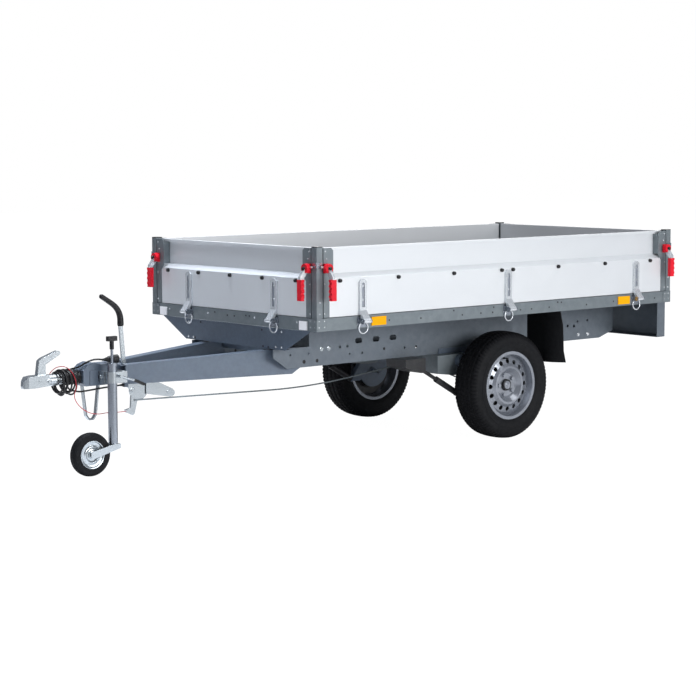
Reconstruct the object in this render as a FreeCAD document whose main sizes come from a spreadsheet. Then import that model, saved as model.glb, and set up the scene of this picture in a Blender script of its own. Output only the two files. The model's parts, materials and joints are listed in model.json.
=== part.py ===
import FreeCAD, Part
import math
import os
import re
import Sketcher

# High-bed platform trailer with four drop sides, braked overrun hitch and jockey wheel.
# X runs forward to the coupling, Y to the left, Z up. The origin is on the ground,
# below the middle of the whole trailer. All lengths are millimetres.

doc = FreeCAD.newDocument("DropsideTrailer")

# Driving dimensions: alias, value
DRIVING = [
    # bed
    ("bed_len", 2727), ("bed_wid", 1415), ("rail_low", 696), ("rail_tall", 66),
    ("rail_wall", 3), ("rail_flange", 40), ("floor_thick", 15), ("floor_drop", 2),
    ("cross_wid", 50), ("cross_wall", 3), ("post_side", 40), ("post_wall", 3),
    ("post_tall", 359), ("cap_thick", 4), ("corner_wid", 64), ("corner_thick", 2),
    # drop sides
    ("board_gap", 3), ("board_tall", 352), ("board_inset", 3), ("board_depth", 45),
    ("board_skin", 6), ("step_low", 195), ("step_tall", 24), ("bead_tall", 15),
    ("bead_proud", 14), ("board_end", 56), ("plate_end", 45), ("plate_low_wid", 39),
    ("plate_top_wid", 65), ("plate_thick", 3), ("plate_step_low", 184),
    ("plate_step_tall", 28), ("plate_notch", 14),
    # hinges
    ("pin_out", 34), ("pin_up", 39), ("pin_rad", 5), ("pin_clear", 0.4), ("eye_wall", 6),
    ("strap_wid", 46), ("strap_proud", 10), ("strap_top", 184), ("strap_gap", 1),
    ("strap_slot", 20), ("slot_low", 40), ("slot_top", 166), ("strap_cut", 13),
    ("ear_thick", 5), ("ear_rad", 12), ("ring_bar", 3.5), ("ring_rad", 30), ("ring_drop", 35),
    ("base_thick", 3), ("base_half", 36), ("base_edge", 6), ("hook_half", 4), ("hook_tall", 8),
    ("hook_lip", 4), ("seat_clear", 0.3), ("pin_end", 3),
    ("hinge_first", 306), ("hinge_mid_off", 2.5), ("hinge_last_in", 307), ("end_hinge_half", 367),
    # latches
    ("latch_from_end", 58), ("latch_proud", 66), ("grip_low", 88), ("grip_tall", 107),
    ("grip_wid", 36), ("grip_deep", 20), ("rib_deep", 4), ("cam_up", 250), ("cam_rad", 24),
    ("cam_seat", 12), ("cam_deep", 22), ("seat_half", 14), ("neck_half", 8), ("neck_thick", 14),
    ("link_clear", 5.5), ("link_thick", 5), ("link_tall", 10),
    ("catch_low", 250), ("catch_tall", 30), ("catch_thick", 3), ("catch_wid", 37),
    # chassis
    ("beam_gap", 120.5), ("beam_low", 472), ("beam_wall", 4), ("beam_flange", 45),
    ("tongue_top", 578), ("tongue_back", 245), ("nose_set", 3), ("nose_back", 94),
    ("nose_high", 534), ("beam_taper_len", 120), ("beam_rear_low", 510),
    ("slot_half", 24), ("slot_rise", 14), ("slot_up", 587),
    ("leg_front_fwd", 750), ("leg_front_out", 106), ("leg_bend_back", 148), ("leg_bend_out", 329),
    ("leg_low", 440), ("leg_front_top", 538), ("leg_tail_back", 220), ("leg_tail_low", 490),
    ("leg_wall", 4), ("tie_bar_front", 200), ("tie_bar_low", 525),
    ("apron_low", 579), ("apron_top_half", 641), ("apron_low_half", 428),
    ("apron_back", 20), ("apron_wall", 3), ("apron_deep", 40),
    ("lamp_beam_in", 34), ("lamp_beam_deep", 68), ("lamp_beam_half", 700),
    ("lamp_beam_low", 492), ("lamp_beam_wall", 3), ("lamp_thick", 28), ("lamp_low", 547),
    ("lamp_tall", 75), ("lamp_wid", 200), ("lamp_end", 15),
    ("flap_gap", 32), ("flap_in", 445), ("flap_out", 690), ("flap_low", 400), ("flap_thick", 5),
    # running gear
    ("axle_back", 1460), ("track", 1130), ("tyre_rad", 298), ("tyre_wid", 185),
    ("rim_rad", 178), ("rim_wid", 152), ("rim_flange_rad", 190), ("rim_wall", 5),
    ("rim_offset", 30), ("disc_thick", 5), ("cap_rad", 32), ("cap_out", 44),
    ("hole_ring", 133), ("hole_rad", 13), ("bolt_ring", 56), ("bolt_rad", 11), ("bolt_tall", 12),
    ("drum_rad", 115), ("drum_wid", 60), ("drum_in", 45),
    ("arm_len", 240), ("torsion_up", 437), ("torsion_rad", 40), ("arm_clear", 8.5),
    ("arm_thick", 32), ("arm_wid", 62), ("stub_rad", 16), ("stub_len", 76),
    ("shaft_clear", 0.3), ("seat_fwd", 165), ("seat_back", 60), ("seat_low", 356),
    ("shock_fwd", 302), ("shock_up", 408), ("shock_rad", 17), ("shock_low_fwd", 232),
    ("shock_low_up", 258), ("shock_share", 0.6), ("lug_half", 16), ("hanger_len", 130),
    ("plate_rad", 112), ("plate_gap", 14), ("backplate_thick", 8),
    # overrun hitch
    ("draw_len", 125), ("head_len", 202), ("body_rear", 640), ("body_front", 965), ("body_half", 50),
    ("body_low", 440), ("body_top", 528), ("shelf_top", 545), ("hump_top", 556),
    ("tube_up", 482), ("tube_rad", 25), ("head_half", 30),
    ("sleeve_len", 80), ("ball_rad", 25.3), ("ball_back", 36), ("ball_deep", 20),
    ("lip_up", 452), ("dome_top", 508), ("handle_half", 13), ("handle_top", 626),
    ("bellows_rad", 33), ("bellows_len", 90), ("fold_deep", 5), ("bore_clear", 0.2),
    ("loop_half", 11), ("quad_fwd", 600), ("quad_up", 393), ("quad_rad", 56), ("quad_half", 6),
    ("rod_rad", 4), ("wire_rad", 4), ("lever_half", 5), ("lever_top", 724), ("grip_rad", 17),
    ("loop_back", 71), ("loop_low", 262), ("rod_low", 308), ("hanger_back", 543), ("bar_fwd", 50),
    ("bar_half", 60), ("sheath_fwd", 70), ("sheath_reach", 86), ("cable_dip", 120), ("cable_pull", 95),
    ("bar_thick", 15), ("bar_tall", 24), ("hanger_half", 12),
    # jockey wheel
    ("jock_fwd", 842), ("jock_out", 122), ("jock_tube_rad", 24), ("jock_tube_low", 152),
    ("jock_tube_top", 556), ("jock_rad", 110), ("jock_wid", 54),
    ("jock_trail", 138), ("jock_rim_rad", 72), ("clamp_low", 456), ("clamp_tall", 57),
    ("clamp_wall", 7), ("clamp_clear", 0.4), ("clamp_fwd", 34), ("clamp_rear", 68),
    ("clamp_screw_back", 20), ("clamp_screw_up", 492), ("clamp_screw_rad", 9),
    ("clamp_screw_len", 22), ("lever_rad", 5.5), ("clamp_arm_len", 143), ("clamp_arm_drop", 52),
    ("fork_thick", 5), ("fork_clear", 4), ("fork_half", 22),
    ("jock_axle_rad", 6), ("collar_rad", 27), ("collar_tall", 12), ("spindle_rad", 7),
    ("knob_low", 625), ("knob_rad", 11), ("crank_top", 690), ("crank_tall", 24), ("crank_arm", 54),
    # reflectors and lead
    ("amber_first", 416), ("amber_last_in", 411), ("amber_wid", 100), ("reflector_low", 706),
    ("reflector_tall", 45), ("reflector_thick", 5), ("white_half", 603), ("white_wid", 62),
    ("coil_rear", 990), ("coil_len", 110), ("coil_in", 47), ("coil_thin", 14), ("coil_thick", 24),
    ("coil_edge", 2), ("lead_rad", 4.5), ("gland_fwd", 690), ("gland_out", 32), ("gland_up", 427),
    ("gland_len", 22), ("gland_half", 10), ("gland_tall", 24), ("lead_seat", 2.2),
    ("plug_rad", 21), ("plug_back", 770), ("plug_out", 66), ("plug_len", 62), ("holder_thick", 3),
    ("holder_len", 45), ("tie_rad", 2),
]

# Places worked out from the driving dimensions: alias, formula
DERIVED = [
    ("front_x", "=(bed_len + latch_proud - hitch_reach) / 2"),
    ("rear_x", "=front_x - bed_len"),
    ("half_wid", "=bed_wid / 2"),
    ("rail_top", "=rail_low + rail_tall"),
    ("floor_top", "=rail_top - floor_drop"),
    ("floor_low", "=floor_top - floor_thick"),
    ("post_top", "=rail_top + post_tall"),
    ("board_low", "=rail_top + board_gap"),
    ("board_top", "=board_low + board_tall"),
    ("pin_z", "=rail_low + pin_up"),
    ("beam_out", "=track / 2 - tyre_wid / 2 - beam_gap"),
    ("lamp_beam_rear", "=bed_len - lamp_beam_in"),
    ("lamp_beam_front", "=lamp_beam_rear - lamp_beam_deep"),
    ("beam_taper_back", "=lamp_beam_front - beam_taper_len"),
    ("hinge_mid", "=bed_len / 2 + hinge_mid_off"),
    ("hinge_last", "=bed_len - hinge_last_in"),
    ("amber_last", "=bed_len - amber_last_in"),
    ("flap_back", "=axle_back + tyre_rad + flap_gap"),
    ("head_rear", "=body_front + draw_len"),
    ("hitch_reach", "=head_rear + head_len"),
    ("loop_fwd", "=body_front - loop_back"),
    ("eye_rad", "=pin_rad + pin_clear + eye_wall"),
    ("ear_half", "=strap_wid / 2 + strap_gap"),
    ("ring_z", "=pin_z - ring_drop"),
    ("hook_top", "=ring_z + ring_rad - ring_bar - seat_clear - hook_half ^ 2 / (2 * (ring_rad - ring_bar))"),
    ("cam_z", "=board_low + cam_up"),
    ("wheel_x", "=front_x - axle_back"),
    ("torsion_x", "=wheel_x + sqrt(arm_len ^ 2 - (torsion_up - tyre_rad) ^ 2)"),
    ("torsion_half", "=track / 2 - tyre_wid / 2 - arm_thick - arm_clear"),
    ("torsion_flat", "=torsion_rad * sqrt(3) / 2"),
    ("arm_turn", "=atan((torsion_up - tyre_rad) / (torsion_x - wheel_x))"),
    ("arm_mid", "=torsion_half + arm_thick / 2"),
    ("backplate_in", "=track / 2 - drum_in - plate_gap"),
    ("jock_x", "=front_x + jock_fwd"),
    ("ball_x", "=front_x + hitch_reach - ball_back"),
    ("leg_turn", "=atan((leg_bend_out - leg_front_out) / (leg_front_fwd + leg_bend_back))"),
    ("leg_flange", "=(leg_front_out - body_half) / cos(leg_turn)"),
    ("leg_run", "=(leg_front_fwd + leg_bend_back) / cos(leg_turn)"),
    ("leg_end", "=(leg_front_fwd + leg_tail_back) / cos(leg_turn)"),
    ("shock_x", "=wheel_x + shock_low_fwd"),
    ("shock_turn", "=atan((torsion_x + shock_fwd - shock_x) / (shock_up - shock_low_up))"),
    ("shock_len", "=(shock_up - shock_low_up) / cos(shock_turn)"),
    ("coil_up", "=tube_up + bellows_rad + seat_clear - coil_in"),
    ("coil_out", "=coil_in + (coil_thin + coil_thick) / 2"),
    ("coil_mid_up", "=coil_up - (coil_thick - coil_thin) / 2"),
    ("coil_x", "=front_x + coil_rear"),
    ("plug_up", "=shelf_top + holder_thick + plug_rad"),
    ("coil_top", "=coil_mid_up + coil_out"),
]

sheet = doc.addObject("Spreadsheet::Sheet", "Dims")
for row, (alias, value) in enumerate(DRIVING + DERIVED, 1):
    sheet.set("A%d" % row, alias)
    sheet.set("B%d" % row, str(value))
    sheet.setAlias("B%d" % row, alias)
doc.recompute()

ALIASES = {alias for alias, value in DRIVING + DERIVED}
WORD = re.compile(r"[a-z_]\w*")


def bound(text):
    """Expression text with the sheet's name put before each alias."""
    return WORD.sub(lambda m: "Dims." + m.group() if m.group() in ALIASES else m.group(), str(text))


def num(text):
    """Value of an expression, as a plain number."""
    value = sheet.evalExpression(bound(text))
    return float(getattr(value, "Value", value))


def place(obj, base, turn=None):
    """Binds an object's place to three expressions, with an optional axis and angle."""
    for letter, text in zip("xyz", base):
        obj.setExpression("Placement.Base." + letter, bound(text))
    if turn:
        axis, angle = turn
        obj.Placement.Rotation = FreeCAD.Rotation(FreeCAD.Vector(*axis), num(angle))
        obj.setExpression("Placement.Rotation.Angle", bound(angle))
    return obj


PLANE_ROLE = {"XY": "XY_Plane", "XZ": "XZ_Plane", "YZ": "YZ_Plane"}


def sketch(body, plane, corners, offset="0"):
    """Closed outline on one of the body's planes, each corner bound to two expressions."""
    drawn = body.newObject("Sketcher::SketchObject", body.Name + "Sketch")
    face = [o for o in body.Origin.OriginFeatures if o.Role == PLANE_ROLE[plane]][0]
    drawn.AttachmentSupport = [(face, "")]
    drawn.MapMode = "FlatFace"
    drawn.setExpression("AttachmentOffset.Base.z", bound(offset))
    spots = [FreeCAD.Vector(num(a), num(b), 0) for a, b in corners]
    count = len(spots)
    for i in range(count):
        drawn.addGeometry(Part.LineSegment(spots[i], spots[(i + 1) % count]), False)
    for i in range(count):
        drawn.addConstraint(Sketcher.Constraint("Coincident", i, 2, (i + 1) % count, 1))
    for i, corner in enumerate(corners):
        for kind, text, value in zip(("DistanceX", "DistanceY"), corner, spots[i]):
            index = drawn.addConstraint(Sketcher.Constraint(kind, -1, 1, i, 1, value))
            drawn.setExpression("Constraints[%d]" % index, bound(text))
    return drawn


def slab(name, plane, corners, low, high):
    """Outline padded from low to high along the plane's own axis."""
    body = doc.addObject("PartDesign::Body", name)
    offset = "-(%s)" % high if plane == "XZ" else low
    drawn = sketch(body, plane, corners, offset)
    pad = body.newObject("PartDesign::Pad", name + "Pad")
    pad.Profile = drawn
    pad.setExpression("Length", bound("(%s) - (%s)" % (high, low)))
    return body


def turned(name, corners, base=("0", "0", "0"), turn=None):
    """Outline of (along, radius) corners, revolved about Y and put in its place."""
    body = doc.addObject("PartDesign::Body", name)
    drawn = sketch(body, "YZ", corners)
    spun = body.newObject("PartDesign::Revolution", name + "Turn")
    spun.Profile = drawn
    spun.ReferenceAxis = (drawn, ["H_Axis"])
    spun.Angle = 360
    return place(body, base, turn)


def block(name, low, high):
    """Box between two corners, each of three expressions."""
    box = doc.addObject("Part::Box", name)
    for side, a, b in zip(("Length", "Width", "Height"), low, high):
        box.setExpression(side, bound("(%s) - (%s)" % (b, a)))
    return place(box, low)


AXIS_TURN = {"X": ((0, 1, 0), "90"), "Y": ((1, 0, 0), "-90"), "Z": None}
FORWARD_TURN = ((0, 0, 1), "-90")


def rod(name, axis, base, radius, length):
    """Cylinder from its base point along X, Y or Z."""
    bar = doc.addObject("Part::Cylinder", name)
    bar.setExpression("Radius", bound(radius))
    bar.setExpression("Height", bound(length))
    return place(bar, base, AXIS_TURN[axis])


def fuse(name, pieces):
    """Pieces that touch, joined."""
    joined = doc.addObject("Part::MultiFuse", name)
    joined.Shapes = pieces
    return joined


def group(name, pieces):
    """Like pieces that stand apart, kept as one sub-part."""
    kept = doc.addObject("Part::Compound", name)
    kept.Links = pieces
    return kept


def cut(name, base, tool):
    """Base less tool."""
    rest = doc.addObject("Part::Cut", name)
    rest.Base = base
    rest.Tool = tool
    return rest


def common(name, pieces):
    """Part that all pieces share."""
    shared = doc.addObject("Part::MultiCommon", name)
    shared.Shapes = pieces
    return shared


def mirrored(name, source, normal=(0, 1, 0), base=(0, 0, 0)):
    """Mirror image in a plane through base."""
    image = doc.addObject("Part::Mirroring", name)
    image.Source = source
    image.Normal = FreeCAD.Vector(*normal)
    image.Base = FreeCAD.Vector(*base)
    return image


def both_sides(name, source):
    """A left-hand piece with its right-hand image."""
    return group(name, [source, mirrored(name + "Right", source)])


def path_solid(name, points, radius, closed=False):
    """Round bar along straight runs joined by tangent arcs through the inside of each point."""
    spots = [FreeCAD.Vector(*p) for p in points]
    edges = []
    start = spots[0]
    for before, corner, after in zip(spots, spots[1:], spots[2:]):
        back = before - corner
        ahead = after - corner
        half = (math.pi - back.getAngle(ahead)) / 2
        reach = 0.45 * min(back.Length, ahead.Length)
        back.normalize()
        ahead.normalize()
        first = corner + back * reach
        last = corner + ahead * reach
        bend = reach / math.tan(half)
        inward = (back + ahead).normalize()
        middle = corner + inward * (bend / math.cos(half) - bend)
        edges.append(Part.LineSegment(start, first).toShape())
        edges.append(Part.Arc(first, middle, last).toShape())
        start = last
    edges.append(Part.LineSegment(start, spots[-1]).toShape())
    wire = Part.Wire(edges)
    direction = spots[1] - spots[0]
    ring = Part.Wire([Part.Circle(spots[0], direction, radius).toShape()])
    made = doc.addObject("Part::Feature", name)
    made.Shape = wire.makePipeShell([ring], True, False)
    return made


NODES = []


def node(obj, label):
    """Marks an object as a finished sub-part and names it."""
    obj.Label = label
    NODES.append(obj)
    return obj


# Bed: rails, posts, floor
CROSS_MEMBERS = 8


def rail(name, plane, out, span, sign):
    """Channel rail, its web outside and its flanges turned in."""
    inner = "%s - %s * rail_flange" % (out, sign)
    web_in = "%s - %s * rail_wall" % (out, sign)
    corners = [(out, "rail_low"), (out, "rail_top"), (inner, "rail_top"),
               (inner, "rail_top - rail_wall"), (web_in, "rail_top - rail_wall"),
               (web_in, "rail_low + rail_wall"), (inner, "rail_low + rail_wall"),
               (inner, "rail_low")]
    return slab(name, plane, corners, *span)


def corner_sleeve(number, x_end, y_end):
    """Two plates that wrap the rails at a corner of the bed."""
    face_x = "front_x" if x_end > 0 else "rear_x - corner_thick"
    face_y = "half_wid" if y_end > 0 else "-half_wid - corner_thick"
    span_x = (face_x + " + corner_thick - corner_wid", face_x + " + corner_thick") if x_end > 0 else (
        face_x, face_x + " + corner_wid")
    span_y = (face_y + " + corner_thick - corner_wid", face_y + " + corner_thick") if y_end > 0 else (
        face_y, face_y + " + corner_wid")
    return [block("SleeveEnd%d" % number, (face_x, span_y[0], "rail_low"),
                  (face_x + " + corner_thick", span_y[1], "rail_top")),
            block("SleeveSide%d" % number, (span_x[0], face_y, "rail_low"),
                  (span_x[1], face_y + " + corner_thick", "rail_top"))]


def build_bed():
    """Rails, corner posts with caps, cross members and floor."""
    long_span = ("rear_x + post_side", "front_x - post_side")
    wide_span = ("-half_wid + post_side", "half_wid - post_side")
    rails = [rail("RailLeft", "YZ", "half_wid", long_span, "1"),
             rail("RailRight", "YZ", "-half_wid", long_span, "-1"),
             rail("RailFront", "XZ", "front_x", wide_span, "1"),
             rail("RailRear", "XZ", "rear_x", wide_span, "-1")]
    node(group("BedRails", rails), "bed_rails")

    posts = []
    caps = []
    for number, (x_end, y_end) in enumerate([(1, 1), (1, -1), (-1, 1), (-1, -1)]):
        x = "front_x - post_side" if x_end > 0 else "rear_x"
        y = "half_wid - post_side" if y_end > 0 else "-half_wid"
        outer = block("Post%d" % number, (x, y, "rail_low"),
                      (x + " + post_side", y + " + post_side", "post_top"))
        bore = block("PostBore%d" % number, (x + " + post_wall", y + " + post_wall", "rail_low - 1"),
                     (x + " + post_side - post_wall", y + " + post_side - post_wall",
                      "post_top + 1"))
        tube = cut("PostTube%d" % number, outer, bore)
        posts.append(fuse("PostWhole%d" % number, [tube] + corner_sleeve(number, x_end, y_end)))
        caps.append(block("Cap%d" % number, (x, y, "post_top"),
                          (x + " + post_side", y + " + post_side", "post_top + cap_thick")))
    node(group("CornerPosts", posts), "corner_posts")
    node(group("PostCaps", caps), "post_caps")

    edge = "rail_flange"
    node(block("Floor", ("rear_x + " + edge, "-half_wid + " + edge, "floor_low"),
               ("front_x - " + edge, "half_wid - " + edge, "floor_top")), "floor_panel")

    members = []
    first = "rear_x + rail_flange + cross_wid"
    pitch = "(bed_len - 2 * rail_flange - 2 * cross_wid) / %d" % (CROSS_MEMBERS - 1)
    for number in range(CROSS_MEMBERS):
        middle = "%s + %d * %s" % (first, number, pitch)
        left = "%s - cross_wid / 2" % middle
        right = "%s + cross_wid / 2" % middle
        corners = [(left, "rail_low"), (left, "floor_low"), (right, "floor_low"),
                   (right, "floor_low - cross_wall"), (left + " + cross_wall", "floor_low - cross_wall"),
                   (left + " + cross_wall", "rail_low + cross_wall"),
                   (right, "rail_low + cross_wall"), (right, "rail_low")]
        members.append(slab("Cross%d" % number, "XZ", corners,
                            "-half_wid + rail_flange", "half_wid - rail_flange"))
    node(group("CrossMembers", members), "cross_members")


# Chassis: side beams, drawbar legs, apron, lamp beam
# Lightening slots and round holes of a side beam: how far behind the bed's front, height, radius
BEAM_SLOTS = [591, 716, 840]
BEAM_HOLES = [
    (381, 561, 10), (459, 561, 8), (511, 562, 8), (527, 520, 6), (616, 519, 7), (774, 530, 6),
    (925, 525, 6), (1011, 524, 8), (210, 501, 9), (299, 500, 8), (242, 542, 6), (117, 542, 6),
    (2315, 582, 8), (2400, 583, 8), (2230, 560, 9), (2285, 556, 9), (2318, 505, 6), (2401, 505, 6),
]


def web_holes():
    """Cutters for the slots and round holes in the left side beam."""
    cutters = []
    low = "beam_out - beam_wall - 1"
    for back in BEAM_SLOTS:
        middle = "front_x - %d" % back
        corners = [(middle + sx + "slot_half" + trim_x, "slot_up" + sz + "slot_rise" + trim_z)
                   for sx, sz, trim_x, trim_z in (
                       (" - ", " - ", " + slot_rise / 2", ""), (" + ", " - ", " - slot_rise / 2", ""),
                       (" + ", " - ", "", " + slot_rise / 2"), (" + ", " + ", "", " - slot_rise / 2"),
                       (" + ", " + ", " - slot_rise / 2", ""), (" - ", " + ", " + slot_rise / 2", ""),
                       (" - ", " + ", "", " - slot_rise / 2"), (" - ", " - ", "", " + slot_rise / 2"))]
        cutters.append(slab("BeamSlot%d" % back, "XZ", corners, low, "beam_out + 1"))
    for back, up, radius in BEAM_HOLES:
        cutters.append(rod("BeamHole%d" % back, "Y", ("front_x - %d" % back, low, str(up)), str(radius),
                           "beam_wall + 2"))
    return group("BeamCutters", cutters)


def build_chassis():
    """Folded plate frame below the bed, with its V drawbar."""
    rear = "front_x - lamp_beam_front"
    web = [("front_x - nose_set", "tongue_top"), ("front_x - nose_set", "nose_high"),
           ("front_x - nose_back", "beam_low"), ("front_x - beam_taper_back", "beam_low"),
           (rear, "beam_rear_low"), (rear, "rail_low"), ("front_x - tongue_back", "rail_low"),
           ("front_x - tongue_back", "tongue_top")]
    left_web = cut("BeamWeb", slab("BeamPlate", "XZ", web, "beam_out - beam_wall", "beam_out"),
                   web_holes())
    full = "front_x - tongue_back"
    top_flange = block("BeamTop", (rear, "beam_out - beam_flange", "rail_low - beam_wall"),
                       (full, "beam_out - beam_wall", "rail_low"))
    low_flange = block("BeamLow", ("front_x - beam_taper_back", "beam_out - beam_flange", "beam_low"),
                       (full, "beam_out - beam_wall", "beam_low + beam_wall"))
    node(both_sides("SideBeams", fuse("BeamLeft", [left_web, top_flange, low_flange])), "side_beams")

    top_in = "tongue_top - leg_wall"
    run = [("0", "leg_low"), ("0", "leg_front_top"), ("leg_run", "tongue_top"), ("leg_end", "tongue_top"),
           ("leg_end", "leg_tail_low"), ("leg_run", "leg_low")]
    inside = [("-1", "leg_low + leg_wall"), ("-1", "leg_front_top - leg_wall"), ("leg_run", top_in),
              ("leg_end + 1", top_in), ("leg_end + 1", "leg_tail_low + leg_wall"),
              ("leg_run - leg_wall", "leg_low + leg_wall")]
    outer = slab("LegRun", "XZ", run, "0", "leg_flange")
    core = slab("LegRunCore", "XZ", inside, "leg_wall", "leg_flange + 1")
    channel = cut("LegChannel", outer, core)
    place(channel, ("front_x + leg_front_fwd", "leg_front_out", "0"), ((0, 0, 1), "180 deg - leg_turn"))
    tie = block("LegTie", ("front_x - tongue_back", "beam_wall - beam_out", "tie_bar_low"),
                ("front_x - tie_bar_front", "beam_out - beam_wall", "tongue_top"))
    node(fuse("DrawbarLegs", [channel, mirrored("LegRight", channel), tie]), "drawbar_legs")

    face = [("-apron_top_half", "rail_low"), ("-apron_low_half", "apron_low"),
            ("apron_low_half", "apron_low"), ("apron_top_half", "rail_low")]
    plate = slab("ApronFace", "YZ", face, "front_x - apron_back - apron_wall", "front_x - apron_back")
    shelf = block("ApronShelf", ("front_x - apron_back - apron_deep", "-apron_low_half", "apron_low"),
                  ("front_x - apron_back - apron_wall", "apron_low_half", "apron_low + apron_wall"))
    node(fuse("FrontApron", [plate, shelf]), "front_apron")

    shell = block("LampShell", ("front_x - lamp_beam_rear", "-lamp_beam_half", "lamp_beam_low"),
                  (rear, "lamp_beam_half", "rail_low"))
    hollow = block("LampHollow", ("front_x - lamp_beam_rear + lamp_beam_wall",
                                  "-lamp_beam_half + lamp_beam_wall", "lamp_beam_low + lamp_beam_wall"),
                   (rear + " + 1", "lamp_beam_half - lamp_beam_wall", "rail_low - lamp_beam_wall"))
    node(cut("LampBeam", shell, hollow), "rear_lamp_beam")

    lamp = block("Lamp", ("front_x - lamp_beam_rear - lamp_thick",
                          "lamp_beam_half - lamp_end - lamp_wid", "lamp_low"),
                 ("front_x - lamp_beam_rear", "lamp_beam_half - lamp_end", "lamp_low + lamp_tall"))
    node(both_sides("TailLamps", lamp), "tail_lamps")

    flap = block("Flap", ("front_x - flap_back - flap_thick", "flap_in", "flap_low"),
                 ("front_x - flap_back", "flap_out", "rail_low"))
    node(both_sides("MudFlaps", flap), "mud_flaps")


# Drop sides: name, plane of the section, outer face, inward sign, plane of the face, ends
SIDES = [
    ("left", "YZ", "half_wid", "-", "XZ", ("rear_x", "front_x")),
    ("right", "YZ", "-half_wid", "+", "XZ", ("rear_x", "front_x")),
    ("front", "XZ", "front_x", "-", "YZ", ("-half_wid", "half_wid")),
    ("rear", "XZ", "rear_x", "+", "YZ", ("-half_wid", "half_wid")),
]
LONG_HINGES = ["front_x - hinge_first", "front_x - hinge_mid", "front_x - hinge_last"]
WIDE_HINGES = ["end_hinge_half", "-end_hinge_half"]


class Side:
    """One side of the bed: depth runs inward from the outer face, along follows the rail."""

    def __init__(self, name, section, out, sign, face, ends):
        self.name = name
        self.section = section
        self.out = out
        self.sign = sign
        self.face = face
        self.ends = ends
        self.hinges = LONG_HINGES if section == "YZ" else WIDE_HINGES

    def depth(self, text):
        """Place of a depth, inward from the outer face."""
        return "%s %s (%s)" % (self.out, self.sign, text)

    def across(self, shallow, deep):
        """Low and high places of two depths."""
        span = (self.depth(shallow), self.depth(deep))
        return span if self.sign == "+" else span[::-1]

    def outline(self, corners):
        """Section corners of (depth, height)."""
        return [(self.depth(d), z) for d, z in corners]

    def box(self, name, along, depth, height):
        """Box from spans along the rail, inward and upward."""
        a = along
        d = self.across(*depth)
        if self.section == "YZ":
            return block(name, (a[0], d[0], height[0]), (a[1], d[1], height[1]))
        return block(name, (d[0], a[0], height[0]), (d[1], a[1], height[1]))

    def point(self, along, depth, height):
        """Place of one point."""
        d = self.depth(depth)
        return (along, d, height) if self.section == "YZ" else (d, along, height)

    def end_span(self, end, near, far):
        """Span between two distances from one end of the side."""
        corner = self.ends[end]
        if end == 0:
            return (corner + " + (%s)" % near, corner + " + (%s)" % far)
        return (corner + " - (%s)" % far, corner + " - (%s)" % near)

    def from_end(self, end, distance):
        """Place at a distance from one end."""
        return self.ends[end] + (" + (%s)" if end == 0 else " - (%s)") % distance

    def across_base(self, along, shallow, deep, height):
        """Base point of a rod that lies inward between two depths."""
        low = self.across(shallow, deep)[0]
        return (along, low, height) if self.section == "YZ" else (low, along, height)

    def bar_axis(self):
        """Axis that the rail follows."""
        return "X" if self.section == "YZ" else "Y"

    def out_axis(self):
        """Axis that leads out of the face."""
        return "Y" if self.section == "YZ" else "X"


def board_panel(side):
    """Stepped board: a deep lower part, a slope, a thin upper part and a top bead."""
    inner = "board_inset + board_depth"
    upper = inner + " - board_skin"
    step = "board_low + step_low"
    corners = [("board_inset", "board_low"), ("board_inset", step), (upper, step + " + step_tall"),
               (upper, "board_top - bead_tall"), (upper + " - bead_proud", "board_top - bead_tall"),
               (upper + " - bead_proud", "board_top"), (inner, "board_top"), (inner, "board_low")]
    span = (side.from_end(0, "board_end"), side.from_end(1, "board_end"))
    return slab(side.name.title() + "Panel", side.section, side.outline(corners), *span)


def end_plates(side):
    """Folded plates that close the two ends of a board and carry its latches."""
    made = []
    inner = "board_inset + board_depth"
    upper = inner + " - board_skin"
    step = "board_low + plate_step_low"
    wide = "plate_end + plate_top_wid"
    for end in (0, 1):
        name = "%sPlate%d" % (side.name.title(), end)
        shape = [("plate_end", "board_low"), ("plate_end + plate_low_wid", "board_low"),
                 ("plate_end + plate_low_wid", step), (wide, step + " + plate_step_tall"),
                 (wide, "board_top - plate_notch"), (wide + " - plate_notch", "board_top"),
                 ("plate_end", "board_top")]
        corners = [(side.from_end(end, d), z) for d, z in shape]
        face = slab(name, side.face, corners, *side.across("0", "plate_thick"))
        fold = side.box(name + "Fold", side.end_span(end, wide + " - plate_thick", wide),
                        ("plate_thick", upper),
                        ("board_low + step_low + step_tall", "board_top - bead_tall"))
        wall = side.box(name + "Wall", side.end_span(end, "board_end - plate_thick", "board_end"),
                        ("plate_thick", inner), ("board_low", "board_top"))
        made.append(fuse(name + "Whole", [face, fold, wall]))
    return made


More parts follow.
